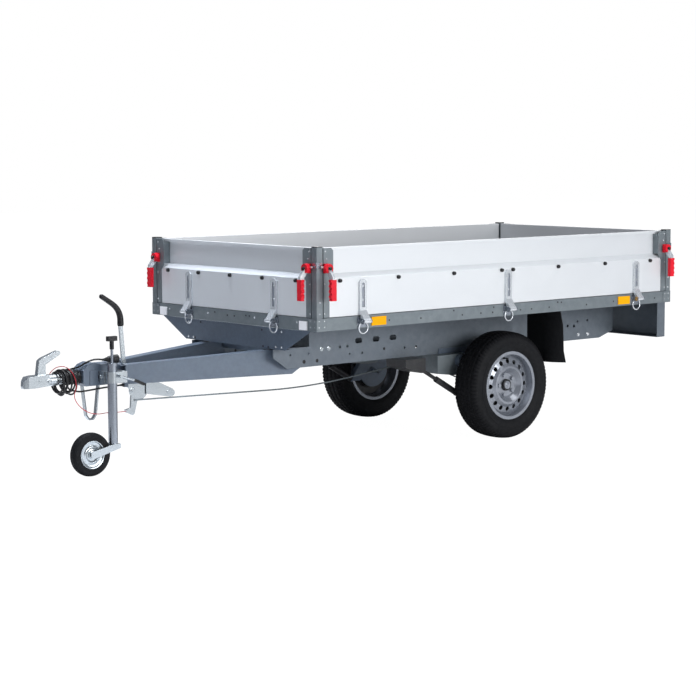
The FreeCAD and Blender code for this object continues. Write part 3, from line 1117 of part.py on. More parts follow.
def cord(name, points, radius):
    """Round cord through a table of points, its bend radii printed."""
    spots = [at(*point) for point in points]
    vectors = [FreeCAD.Vector(*spot) for spot in spots]
    radii = []
    for before, corner, after in zip(vectors, vectors[1:], vectors[2:]):
        back = corner - before
        onward = after - corner
        half = back.getAngle(onward) / 2
        radii.append(0.45 * min(back.Length, onward.Length) / math.tan(half))
    print(name, "bend radii", [round(radius) for radius in radii])
    return path_solid(name, spots, num(radius))


def build_cables():
    """Trailer lead with its coil and plug, and the breakaway cable of the brake."""
    outline = [("0", "0"), ("0", "coil_out - coil_edge"), ("coil_edge", "coil_out"),
               ("coil_len - coil_edge", "coil_out"), ("coil_len", "coil_out - coil_edge"), ("coil_len", "0")]
    disc = turned("CoilDisc", outline, ("coil_x", "0", "coil_mid_up"), FORWARD_TURN)
    middle = rod("CoilMiddle", "X", ("coil_x - 1", "0", "coil_up"), "coil_in", "coil_len + 2")
    node(cut("Coil", disc, middle), "cable_coil")
    node(cord("LeadLower", LEAD_LOWER, "lead_rad"), "lead_lower")
    node(cord("LeadUpper", LEAD_UPPER, "lead_rad"), "lead_upper")
    node(rod("Plug", "X", ("front_x + plug_back", "plug_out", "plug_up"), "plug_rad", "plug_len"), "plug")
    node(cord("BreakawayCable", BREAKAWAY, "tie_rad"), "breakaway_cable")


build_bed()
build_chassis()
build_sides()
build_wheels()
build_axle()
build_hitch()
build_jockey()
build_reflectors()
build_cables()

# Every object is checked, then each sub-part is written
doc.recompute()
for obj in doc.Objects:
    if "Invalid" in obj.State or "Error" in obj.State:
        raise RuntimeError("%s failed: %s" % (obj.Name, obj.State))
os.makedirs("parts", exist_ok=True)
for obj in NODES:
    if obj.Shape.isNull() or not obj.Shape.isValid():
        raise RuntimeError(obj.Label + " has no valid shape")
    obj.Shape.exportStep("parts/%s.step" % obj.Label)
    print(obj.Label, len(obj.Shape.Solids), obj.Shape.BoundBox)
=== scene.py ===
"""Looks of a high-bed platform trailer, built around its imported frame.

Lengths are metres in the frame's own axes: +X forward to the coupling, +Y to the left, +Z up.
"""
import json
import logging
import math
from dataclasses import dataclass, field
from enum import Enum

import bmesh
import bpy
import numpy as np
from mathutils import Matrix, Vector


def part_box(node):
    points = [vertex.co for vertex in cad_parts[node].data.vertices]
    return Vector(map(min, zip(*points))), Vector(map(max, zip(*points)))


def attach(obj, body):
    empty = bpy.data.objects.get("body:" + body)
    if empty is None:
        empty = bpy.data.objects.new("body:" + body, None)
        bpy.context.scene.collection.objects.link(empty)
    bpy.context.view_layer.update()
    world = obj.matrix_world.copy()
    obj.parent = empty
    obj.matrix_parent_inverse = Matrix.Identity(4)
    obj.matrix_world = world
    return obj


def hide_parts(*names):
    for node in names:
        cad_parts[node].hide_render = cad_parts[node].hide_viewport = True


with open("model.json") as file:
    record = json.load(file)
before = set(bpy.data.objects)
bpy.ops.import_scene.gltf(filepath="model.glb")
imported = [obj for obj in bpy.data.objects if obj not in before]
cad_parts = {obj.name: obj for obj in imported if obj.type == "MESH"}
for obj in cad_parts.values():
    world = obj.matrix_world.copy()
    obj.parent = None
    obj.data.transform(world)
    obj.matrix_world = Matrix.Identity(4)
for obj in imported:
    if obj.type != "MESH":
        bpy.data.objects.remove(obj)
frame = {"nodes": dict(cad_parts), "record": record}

LOG = logging.getLogger("trailer")

# Places read from the frame
FRONT_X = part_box("bed_rails")[1].x
REAR_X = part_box("bed_rails")[0].x
HALF_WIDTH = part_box("bed_rails")[1].y
APRON_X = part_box("front_apron")[1].x
BEAM_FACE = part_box("side_beams")[1].y
WHEEL_CENTRE = (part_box("tyre_left")[0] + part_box("tyre_left")[1]) / 2
JOCKEY_CENTRE = (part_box("jockey_tyre")[0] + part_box("jockey_tyre")[1]) / 2

# Shared by all finishes
DUST_COLOUR = (0.30, 0.28, 0.25)
ROUGHNESS_SPREAD = 0.12
ROLLING_LINES = (2.0, 2.0, 900.0)
BUMP_STRENGTH = 0.5
COAT_ROUGHNESS = 0.15


def ahead(points: list[tuple]) -> list[tuple[float, float, float]]:
    """Moves places measured from the bed's front into the shared frame.

    Args:
        points: rows of (ahead of the bed's front, out, up) in metres.
    Returns:
        The same places as (x, y, z).
    """
    return [(FRONT_X + a, out, up) for a, out, up in points]


# Finishes

class Pattern(Enum):
    """How a finish varies over its surface."""
    SHEET = "rolled sheet"
    PAINT = "sprayed coat"
    ZINC = "zinc plate"
    CAST = "cast or forged coat"
    RUBBER = "rubber"
    MOULDED = "moulded plastic"
    LENS = "prism lens"
    PLY = "mesh-faced plywood"


@dataclass(frozen=True)
class Finish:
    """One finish: its two colours, how they vary, and its roughness, relief, dust and gloss.

    The size of its pattern, the height of its relief and the rounding of its edges are in metres.
    """
    name: str
    colour: tuple[float, float, float]
    other: tuple[float, float, float]
    pattern: Pattern
    roughness: float
    metallic: float = 0.0
    size: float = 0.05
    bump: float = 0.0005
    dust: float = 0.0
    edge: float = 0.0012
    coat: float = 0.0
    gloss: float = 0.5


def zinc(name: str, colour: tuple, other: tuple, roughness: float, metallic: float) -> Finish:
    """Finish of a small zinc-plated part, whose crystals are fine.

    Args:
        name: the material's name.
        colour: its colour.
        other: its second colour.
        roughness: of the plate.
        metallic: its share of metal.
    Returns:
        The finish.
    """
    return Finish(name, colour, other, Pattern.ZINC, roughness, metallic, size=0.006, bump=0.00004, dust=0.02)


FINISHES = {
    "silver_sheet": Finish("SilverSheet", (0.70, 0.725, 0.745), (0.66, 0.685, 0.71), Pattern.SHEET, 0.42,
                           0.25, size=0.9, bump=0.0002),
    "grey_steel": Finish("GreySteel", (0.185, 0.215, 0.23), (0.15, 0.178, 0.196), Pattern.ZINC, 0.46, 0.35,
                         size=0.035, bump=0.0002, dust=0.12),
    # Darker, bluer copy of the grey steel: painted shade on the side beams and lamp beam, which sit under the
    # bed
    "shaded_beam_steel": Finish("BeamSteelPaintedShade", (0.142, 0.167, 0.195), (0.115, 0.139, 0.166), Pattern.ZINC, 0.46, 0.35,
                         size=0.035, bump=0.0002, dust=0.12),
    "blue_grey_paint": Finish("BlueGreyPaint", (0.105, 0.138, 0.183), (0.094, 0.123, 0.166), Pattern.CAST,
                              0.42, 0.15, size=0.02, bump=0.0003, dust=0.1),
    "galvanised": zinc("BrightZinc", (0.74, 0.77, 0.80), (0.68, 0.72, 0.75), 0.24, 0.60),
    "hitch_zinc": zinc("HitchZinc", (0.475, 0.515, 0.54), (0.455, 0.495, 0.52), 0.22, 0.85),
    "dull_zinc": zinc("DullZinc", (0.33, 0.36, 0.405), (0.295, 0.325, 0.37), 0.23, 0.85),
    # Darker zinc for the floors of the straps' slots: painted shade in the slots
    "shaded_slot_zinc": zinc("SlotZincPaintedShade", (0.30, 0.325, 0.37), (0.26, 0.285, 0.33), 0.35, 0.4),
    "coated_plywood": Finish("CoatedPlywood", (0.075, 0.045, 0.03), (0.045, 0.028, 0.02), Pattern.PLY, 0.42,
                             size=0.006, bump=0.0004, dust=0.1),
    "black_plastic": Finish("BlackPlastic", (0.007, 0.007, 0.008), (0.011, 0.011, 0.013), Pattern.MOULDED,
                            0.36, size=0.004, bump=0.0002, dust=0.02, gloss=0.35),
    "black_rubber": Finish("BlackRubber", (0.007, 0.007, 0.008), (0.012, 0.012, 0.013), Pattern.RUBBER, 0.45,
                           size=0.01, bump=0.0003, dust=0.02, gloss=0.35),
    "tyre_rubber": Finish("TyreRubber", (0.0050, 0.0055, 0.0068), (0.0075, 0.0080, 0.0095), Pattern.RUBBER,
                          0.62, size=0.02, bump=0.0003, dust=0.008, gloss=0.14),
    "black_paint": Finish("BlackPaint", (0.012, 0.013, 0.015), (0.018, 0.019, 0.022), Pattern.CAST, 0.4, 0.1,
                          size=0.015, bump=0.0003, dust=0.1),
    "silver_rim": Finish("SilverRim", (0.29, 0.31, 0.35), (0.27, 0.292, 0.33), Pattern.PAINT, 0.24, 0.55,
                         size=0.02, bump=0.00005, dust=0.03, coat=0.3),
    "red_plastic": Finish("RedPlastic", (0.76, 0.012, 0.03), (0.66, 0.009, 0.024), Pattern.MOULDED, 0.40,
                          size=0.004, bump=0.0002, gloss=0.2),
    "red_cable": Finish("RedCable", (0.55, 0.02, 0.035), (0.36, 0.01, 0.02), Pattern.MOULDED, 0.35,
                        size=0.003, bump=0.0001),
    "red_lens": Finish("RedLens", (0.42, 0.006, 0.012), (0.26, 0.002, 0.005), Pattern.LENS, 0.12,
                       size=0.006, bump=0.0006, coat=0.6),
    "amber_lens": Finish("AmberLens", (0.93, 0.44, 0.002), (0.88, 0.40, 0.001), Pattern.LENS, 0.50,
                         size=0.004, bump=0.0002, gloss=0.1),
    "white_lens": Finish("WhiteLens", (0.97, 0.97, 0.98), (0.93, 0.93, 0.95), Pattern.LENS, 0.2,
                         size=0.004, bump=0.0003, coat=0.4),
}

# Frame nodes whose finish isn't their slot's own; the beams' darker steel is painted shade
OTHER_FINISH = {"side_beams": "shaded_beam_steel", "rear_lamp_beam": "shaded_beam_steel", "jockey_tube": "dull_zinc",
                "plug_holder": "dull_zinc", "hinge_brackets": "dull_zinc", "latch_catches": "dull_zinc",
                "handbrake_lever": "hitch_zinc", "coupling_head": "hitch_zinc", "jockey_fork": "hitch_zinc",
                "jockey_clamp": "hitch_zinc", "skid_loop": "hitch_zinc"}


class Shader:
    """Small builder of node trees."""

    def __init__(self, tree: bpy.types.NodeTree) -> None:
        """Takes the tree to build in.

        Args:
            tree: an empty or a new node tree.
        """
        self.tree = tree
        self.nodes = tree.nodes
        self.links = tree.links

    def add(self, kind: str, **inputs: object) -> bpy.types.Node:
        """Adds a node and fills its sockets.

        Args:
            kind: the node's type name without the ShaderNode prefix.
            inputs: socket names, with underscores for spaces, and a value or an output socket.
        Returns:
            The new node.
        """
        node = self.nodes.new("ShaderNode" + kind)
        for name, value in inputs.items():
            self.fill(node.inputs[name.replace("_", " ")], value)
        return node

    def fill(self, socket: bpy.types.NodeSocket, value: object) -> None:
        """Links or sets one socket.

        Args:
            socket: the input socket.
            value: an output socket or a constant.
        """
        if isinstance(value, bpy.types.NodeSocket):
            self.links.new(value, socket)
        elif socket.type == "RGBA":
            socket.default_value = (*value, 1.0)
        else:
            socket.default_value = value

    def math(self, operation: str, first: object, second: object = 0.0) -> bpy.types.NodeSocket:
        """One arithmetic step.

        Args:
            operation: the math node's operation.
            first: a value or an output socket.
            second: a value or an output socket.
        Returns:
            The result's socket.
        """
        node = self.nodes.new("ShaderNodeMath")
        node.operation = operation
        self.fill(node.inputs[0], first)
        self.fill(node.inputs[1], second)
        return node.outputs[0]

    def ramp(self, value: object, low: float, high: float) -> bpy.types.NodeSocket:
        """Value brought to 0..1 between low and high.

        Args:
            value: an output socket.
            low: what gives 0.
            high: what gives 1.
        Returns:
            The result's socket.
        """
        node = self.add("MapRange", Value=value, From_Min=low, From_Max=high)
        return node.outputs[0]

    def mix(self, share: object, first: object, second: object) -> bpy.types.NodeSocket:
        """Colour between two colours.

        Args:
            share: how much of the second colour.
            first: a colour or its socket.
            second: a colour or its socket.
        Returns:
            The mixed colour's socket.
        """
        node = self.nodes.new("ShaderNodeMix")
        node.data_type = "RGBA"
        self.fill(node.inputs[0], share)
        self.fill(node.inputs[6], first)
        self.fill(node.inputs[7], second)
        return node.outputs[2]


def new_group(name: str, inputs: list[tuple], outputs: list[tuple]) -> tuple[Shader, dict, dict]:
    """Shader node group with its sockets.

    Args:
        name: the group's name.
        inputs: rows of (socket name, socket type).
        outputs: rows of (socket name, socket type).
    Returns:
        The group's builder, its inner input sockets and its inner output sockets.
    """
    tree = bpy.data.node_groups.new(name, "ShaderNodeTree")
    for label, kind in inputs:
        tree.interface.new_socket(name=label, in_out="INPUT", socket_type=kind)
    for label, kind in outputs:
        tree.interface.new_socket(name=label, in_out="OUTPUT", socket_type=kind)
    shader = Shader(tree)
    entry = tree.nodes.new("NodeGroupInput")
    leave = tree.nodes.new("NodeGroupOutput")
    return shader, {s.name: s for s in entry.outputs}, {s.name: s for s in leave.inputs}


def mottle_group() -> bpy.types.NodeTree:
    """Broad and fine mottling of any surface.

    In words: broad = noise at one size, stretched to 0..1; fine = noise at a twentieth of it.

    Returns:
        The node group.
    """
    shader, entry, leave = new_group("Mottle", [("Size", "NodeSocketFloat")],
                                     [("Broad", "NodeSocketFloat"), ("Fine", "NodeSocketFloat")])
    place = shader.add("TexCoord").outputs["Object"]
    scale = shader.math("DIVIDE", 1.0, entry["Size"])
    broad = shader.add("TexNoise", Vector=place, Scale=scale, Detail=3.0).outputs[0]
    fine = shader.add("TexNoise", Vector=place, Scale=shader.math("MULTIPLY", scale, 20.0),
                      Detail=2.0).outputs[0]
    shader.links.new(shader.ramp(broad, 0.35, 0.65), leave["Broad"])
    shader.links.new(shader.ramp(fine, 0.3, 0.7), leave["Fine"])
    return shader.tree


def dust_group() -> bpy.types.NodeTree:
    """Road dust, thicker near the ground.

    In words: dust = amount x (1 at 50 mm over the ground, falling to 0 at 750 mm) x patches of 40 mm.

    Returns:
        The node group.
    """
    shader, entry, leave = new_group("RoadDust", [("Amount", "NodeSocketFloat")],
                                     [("Mask", "NodeSocketFloat")])
    place = shader.add("TexCoord").outputs["Object"]
    height = shader.add("SeparateXYZ", Vector=place).outputs["Z"]
    low = shader.ramp(height, 0.75, 0.05)
    patch = shader.add("TexNoise", Vector=place, Scale=25.0, Detail=5.0).outputs[0]
    mask = shader.math("MULTIPLY", shader.math("MULTIPLY", low, shader.ramp(patch, 0.35, 0.75)),
                       entry["Amount"])
    shader.links.new(mask, leave["Mask"])
    return shader.tree


def crystal_group() -> bpy.types.NodeTree:
    """Crystal flakes of a zinc coat.

    In words: each Voronoi cell of the given size gets its own brightness from 0 to 1.

    Returns:
        The node group.
    """
    shader, entry, leave = new_group("ZincCrystals", [("Size", "NodeSocketFloat")],
                                     [("Flake", "NodeSocketFloat")])
    place = shader.add("TexCoord").outputs["Object"]
    cells = shader.add("TexVoronoi", Vector=place, Scale=shader.math("DIVIDE", 1.0, entry["Size"]))
    level = shader.add("SeparateXYZ", Vector=cells.outputs["Color"]).outputs["X"]
    shader.links.new(level, leave["Flake"])
    return shader.tree


def weave_group() -> bpy.types.NodeTree:
    """Raised wire-mesh print or lens prisms: the product of two crossed sine waves.

    In words: height = (1 + sin(turns of (x + z) / size) x sin(turns of (y + z) / size)) / 2.

    Returns:
        The node group.
    """
    shader, entry, leave = new_group("CrossedWaves", [("Size", "NodeSocketFloat")],
                                     [("Height", "NodeSocketFloat")])
    place = shader.add("TexCoord").outputs["Object"]
    parts = shader.add("SeparateXYZ", Vector=place).outputs
    pace = shader.math("DIVIDE", 2 * math.pi, entry["Size"])
    first = shader.math("SINE", shader.math("MULTIPLY", shader.math("ADD", parts["X"], parts["Z"]), pace))
    second = shader.math("SINE", shader.math("MULTIPLY", shader.math("ADD", parts["Y"], parts["Z"]), pace))
    both = shader.math("MULTIPLY", first, second)
    shader.links.new(shader.math("MULTIPLY_ADD", both, 0.5), leave["Height"])
    return shader.tree


class Paintbox:
    """Makes each finish's material once and hands it out."""

    def __init__(self) -> None:
        """Builds the shared groups."""
        self.groups = {"mottle": mottle_group(), "dust": dust_group(), "crystal": crystal_group(),
                       "weave": weave_group()}
        self.made: dict[str, bpy.types.Material] = {}

    def use(self, shader: Shader, group: str, **inputs: float) -> bpy.types.Node:
        """Places a shared group in a material.

        Args:
            shader: the material's builder.
            group: the group's key.
            inputs: its socket values.
        Returns:
            The group's node.
        """
        node = shader.nodes.new("ShaderNodeGroup")
        node.node_tree = self.groups[group]
        for name, value in inputs.items():
            shader.fill(node.inputs[name], value)
        return node

    def get(self, slot: str) -> bpy.types.Material:
        """The material of a slot.

        Args:
            slot: the record's material slot.
        Returns:
            The material.
        """
        if slot not in self.made:
            self.made[slot] = self.build(FINISHES[slot])
        return self.made[slot]

    def build(self, finish: Finish) -> bpy.types.Material:
        """Node tree of one finish.

        Args:
            finish: the finish.
        Returns:
            The material.
        """
        material = bpy.data.materials.new(finish.name)
        material.use_nodes = True
        material.node_tree.nodes.clear()
        shader = Shader(material.node_tree)
        mottle = self.use(shader, "mottle", Size=finish.size)
        share, height = self.pattern(shader, finish, mottle)
        colour = shader.mix(share, finish.colour, finish.other)
        if finish.dust:
            dust = self.use(shader, "dust", Amount=finish.dust).outputs["Mask"]
            colour = shader.mix(dust, colour, DUST_COLOUR)
        rough = shader.math("MULTIPLY_ADD", mottle.outputs["Fine"], ROUGHNESS_SPREAD)
        shader.fill(rough.node.inputs[2], finish.roughness - ROUGHNESS_SPREAD / 2)
        soft = shader.add("Bevel", Radius=finish.edge)
        soft.samples = 4
        bump = shader.add("Bump", Height=height, Strength=BUMP_STRENGTH, Distance=finish.bump,
                          Normal=soft.outputs[0])
        surface = shader.add("BsdfPrincipled", Base_Color=colour, Roughness=rough, Metallic=finish.metallic,
                             Normal=bump.outputs[0], Coat_Weight=finish.coat,
                             Coat_Roughness=COAT_ROUGHNESS, Specular_IOR_Level=finish.gloss)
        leave = shader.nodes.new("ShaderNodeOutputMaterial")
        shader.links.new(surface.outputs[0], leave.inputs["Surface"])
        return material

    def pattern(self, shader: Shader, finish: Finish,
                mottle: bpy.types.Node) -> tuple[bpy.types.NodeSocket, bpy.types.NodeSocket]:
        """Share of the second colour and height of the relief.

        In words: zinc takes the mean of its flakes and the broad mottle; plywood and lenses take their
        crossed waves; rolled sheet takes fine lines along its length; all others take the mottle alone.

        Args:
            shader: the material's builder.
            finish: the finish.
            mottle: the placed mottling group.
        Returns:
            The colour share's socket and the relief's socket.
        """
        broad = mottle.outputs["Broad"]
        fine = mottle.outputs["Fine"]
        if finish.pattern is Pattern.ZINC:
            flake = self.use(shader, "crystal", Size=finish.size).outputs["Flake"]
            share = shader.math("MULTIPLY", shader.math("ADD", flake, broad), 0.5)
            return share, broad
        if finish.pattern in (Pattern.PLY, Pattern.LENS):
            wave = self.use(shader, "weave", Size=finish.size).outputs["Height"]
            return shader.ramp(wave, -0.5, 0.5), wave
        if finish.pattern is Pattern.SHEET:
            place = shader.add("TexCoord").outputs["Object"]
            stretch = shader.add("Mapping", Vector=place, Scale=ROLLING_LINES).outputs[0]
            lines = shader.add("TexNoise", Vector=stretch, Scale=1.0, Detail=2.0).outputs[0]
            share = shader.math("MULTIPLY_ADD", broad, 0.6)
            shader.fill(share.node.inputs[2], shader.math("MULTIPLY", lines, 0.3))
            return share, lines
        return broad, fine


# Mesh building

def grid_faces(rows: int, columns: int, wrap_rows: bool, wrap_columns: bool) -> np.ndarray:
    """Quads of a grid of vertices.

    Args:
        rows: vertex rows.
        columns: vertices a row.
        wrap_rows: whether the last row joins the first.
        wrap_columns: whether each row closes on itself.
    Returns:
        An array of vertex indices, four a face.
    """
    row = np.arange(rows if wrap_rows else rows - 1)
    column = np.arange(columns if wrap_columns else columns - 1)
    r, c = np.meshgrid(row, column, indexing="ij")
    r2 = (r + 1) % rows
    c2 = (c + 1) % columns
    quads = np.stack([r * columns + c, r * columns + c2, r2 * columns + c2, r2 * columns + c], -1)
    return quads.reshape(-1, 4)


@dataclass
class Form:
    """Vertices and faces of a shape before it becomes a piece."""
    points: np.ndarray
    faces: list

    def moved(self, matrix: Matrix) -> "Form":
        """Copy put through a matrix.

        Args:
            matrix: four by four.
        Returns:
            The moved form.
        """
        m = np.array(matrix)
        return Form(self.points @ m[:3, :3].T + m[:3, 3], self.faces)


def joined(forms: list[Form]) -> Form:
    """Several forms as one.

    Args:
        forms: the forms.
    Returns:
        One form with all their vertices and faces.
    """
    points = []
    faces = []
    start = 0
    for form in forms:
        points.append(form.points)
        faces += [[int(i) + start for i in face] for face in form.faces]
        start += len(form.points)
    return Form(np.concatenate(points), faces)


def lathe(profile: list[tuple[float, float]], segments: int) -> Form:
    """Closed outline of (along, radius) turned about Z.

    In words: x = radius x cosine of the turn, y = radius x sine of the turn, z = along.

    Args:
        profile: outline points, closed on itself or ending on the axis.
        segments: steps of a turn.
    Returns:
        The form.
    """
    outline = np.array(profile, float)
    angle = np.arange(segments) * 2 * math.pi / segments
    x = np.outer(np.cos(angle), outline[:, 1])
    y = np.outer(np.sin(angle), outline[:, 1])
    z = np.broadcast_to(outline[:, 0], x.shape)
    points = np.stack([x, y, z], -1).reshape(-1, 3)
    closed = outline[0, 1] > 1e-6 and outline[-1, 1] > 1e-6
    return Form(points, grid_faces(segments, len(outline), True, closed).tolist())


def swept(line: np.ndarray, radii: np.ndarray, segments: int) -> Form:
    """Tube along a line with its own radius at each point, its ends closed.

    In words: at each point a ring stands across the line, turned so that it starts level with Y. The
    small tilt of that start keeps it off a line that runs straight along Y.

    Args:
        line: points, three numbers a row.
        radii: a radius for each point.
        segments: vertices round the tube.
    Returns:
        The form.
    """
    along = np.gradient(line, axis=0)
    along /= np.linalg.norm(along, axis=1)[:, None]
    side = np.cross(along, (0.0, 1.0, 0.02))
    side /= np.linalg.norm(side, axis=1)[:, None]
    up = np.cross(side, along)
    angle = np.arange(segments) * 2 * math.pi / segments
    ring = side[:, None] * np.cos(angle)[None, :, None] + up[:, None] * np.sin(angle)[None, :, None]
    points = (line[:, None] + ring * radii[:, None, None]).reshape(-1, 3)
    faces = grid_faces(len(line), segments, False, True).tolist()
    faces.append(list(range(segments))[::-1])
    faces.append([(len(line) - 1) * segments + i for i in range(segments)])
    return Form(points, faces)


TURN_TO = {"X": Matrix.Rotation(math.radians(90), 4, "Y"), "-X": Matrix.Rotation(math.radians(-90), 4, "Y"),
           "Y": Matrix.Rotation(math.radians(-90), 4, "X"), "-Y": Matrix.Rotation(math.radians(90), 4, "X")}


def stand(point: tuple, axis: str, scale: float = 1.0) -> Matrix:
    """Matrix that stands a Z-up form on a point, facing an axis.

    Args:
        point: where its base goes.
        axis: X or Y, with a minus sign for the other way.
        scale: size against the form's own.
    Returns:
        The matrix.
    """
    return Matrix.Translation(Vector(point)) @ TURN_TO[axis] @ Matrix.Scale(scale, 4)


def both_sides(form: Form, x: float, y: float, z: float) -> list[Form]:
    """One small part on the left and one on the right, facing outwards.

    Args:
        form: the part, standing on Z = 0.
        x: their place along the trailer.
        y: how far each stands from the middle.
        z: their height.
    Returns:
        The two placed forms.
    """
    return [form.moved(stand((x, y, z), "Y")), form.moved(stand((x, -y, z), "-Y"))]


class Workshop:
    """Turns forms into finished pieces that ride on their bodies."""

    def __init__(self, paints: Paintbox) -> None:
        """Takes the paints to finish with.

        Args:
            paints: where the materials come from.
        """
        self.paints = paints

    def piece(self, name: str, form: Form, slot: str, body: str, *replaced: str,
              smooth: float = 35.0, finish: str = "") -> bpy.types.Object:
        """Makes one piece.

        Args:
            name: the piece's name.
            form: its shape in the shared frame.
            slot: its material slot.
            body: the body it rides on.
            replaced: frame nodes that it stands for.
            smooth: angle in degrees below which faces shade as one.
            finish: its finish where that isn't the slot's own.
        Returns:
            The object.
        """
        mesh = bpy.data.meshes.new(name)
        mesh.from_pydata(form.points.tolist(), [], form.faces)
        work = bmesh.new()
        work.from_mesh(mesh)
        bmesh.ops.remove_doubles(work, verts=work.verts, dist=1e-6)
        bmesh.ops.recalc_face_normals(work, faces=work.faces)
        work.to_mesh(mesh)
        work.free()
        mesh.shade_smooth()
        mesh.set_sharp_from_angle(angle=math.radians(smooth))
        mesh.materials.append(self.paints.get(finish or slot))
        obj = bpy.data.objects.new(name, mesh)
        bpy.context.scene.collection.objects.link(obj)
        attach(obj, body)
        if replaced:
            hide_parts(*replaced)
        LOG.info("piece %s, %d faces", name, len(mesh.polygons))
        return obj


# Templates of small parts, standing on Z = 0 and facing +Z

def rivet(radius: float = 0.005) -> Form:
    """Domed rivet head with a flat foot.

    Args:
        radius: of the head.
    Returns:
        The form.
    """
    r = radius
    return lathe([(-0.0005, 0.0), (-0.0005, r), (0.0006, r), (0.0016, 0.86 * r), (0.0026, 0.55 * r),
                  (0.0030, 0.0)], 14)


def hole(radius: float) -> Form:
    """Drilled hole with its rolled lip: a shallow cup behind a thin ring.

    Args:
        radius: of the opening.
    Returns:
        The form.
    """
    r = radius
    return lathe([(0.0003, 0.0), (0.0003, 0.80 * r), (0.0009, 0.9 * r), (0.0009, 1.08 * r),
                  (-0.0003, 1.16 * r), (-0.0006, 0.0)], 18)


def hex_bolt(radius: float, height: float) -> Form:
    """Six-sided bolt head with a chamfered top, its washer below.

    Args:
        radius: corner radius of the head.
        height: of the head.
    Returns:
        The form.
    """
    r = radius
    head = lathe([(0.0, 0.0), (0.0, r), (height * 0.8, r), (height, r * 0.86), (height, 0.0)], 6)
    washer = lathe([(-0.0004, 0.0), (-0.0004, r * 1.3), (0.0014, r * 1.3), (0.0018, r * 1.22),
                    (0.0018, 0.0)], 22)
    return joined([head, washer])


def slab(centre: tuple, axis: str, half_across: float, half_up: float, depth: float, corner: float) -> Form:
    """Upright plate with rounded corners and a broken front edge.

    In words: a quarter circle of the corner's radius at each corner; the front ring is drawn in by the
    broken edge.

    Args:
        centre: middle of its back face.
        axis: X or Y, with a minus sign for the other way, that its front faces.
        half_across: half of its width.
        half_up: half of its height.
        depth: of the plate.
        corner: radius of its corners.
    Returns:
        The form.
    """
    sign = -1.0 if axis[0] == "-" else 1.0
    outward = np.array((sign, 0, 0) if axis[-1] == "X" else (0, sign, 0))
    across = np.array((0.0, 1.0, 0.0) if axis[-1] == "X" else (1.0, 0.0, 0.0))
    upright = np.array((0.0, 0.0, 1.0))
    around = 32
    broken = 0.0008
    angle = (np.arange(around) + 0.5) * 2 * math.pi / around
    rings = []
    for out, inset in ((0.0, 0.0), (depth - broken, 0.0), (depth, broken)):
        round_off = corner - inset
        u = np.sign(np.cos(angle)) * (half_across - corner) + round_off * np.cos(angle)
        v = np.sign(np.sin(angle)) * (half_up - corner) + round_off * np.sin(angle)
        rings.append(np.array(centre) + out * outward + u[:, None] * across + v[:, None] * upright)
    faces = grid_faces(len(rings), around, False, True).tolist()
    faces += [list(range(around)), list(range(2 * around, 3 * around))[::-1]]
    return Form(np.concatenate(rings), faces)


def plate(outline: list[tuple[float, float]], middle: float, half: float) -> Form:
    """Flat plate: an outline in the XZ plane given a thickness along Y.

    Args:
        outline: corners as (x, z).
        middle: place of its middle along Y.
        half: half of its thickness.
    Returns:
        The form.
    """
    count = len(outline)
    points = [(x, middle + side * half, z) for side in (-1, 1) for x, z in outline]
    faces = grid_faces(2, count, False, True).tolist()
    faces += [list(range(count)), list(range(count, 2 * count))[::-1]]
    return Form(np.array(points), faces)


def buffer_knob() -> Form:
    """Black rubber buffer: a waisted foot under a round cap.

    Returns:
        The form.
    """
    return lathe([(-0.0005, 0.0), (-0.0005, 0.0105), (0.002, 0.0105), (0.0035, 0.0085), (0.006, 0.0085),
                  (0.0075, 0.0098), (0.0105, 0.0098), (0.0125, 0.0085), (0.0137, 0.005), (0.014, 0.0)], 22)


# Sub-assemblies

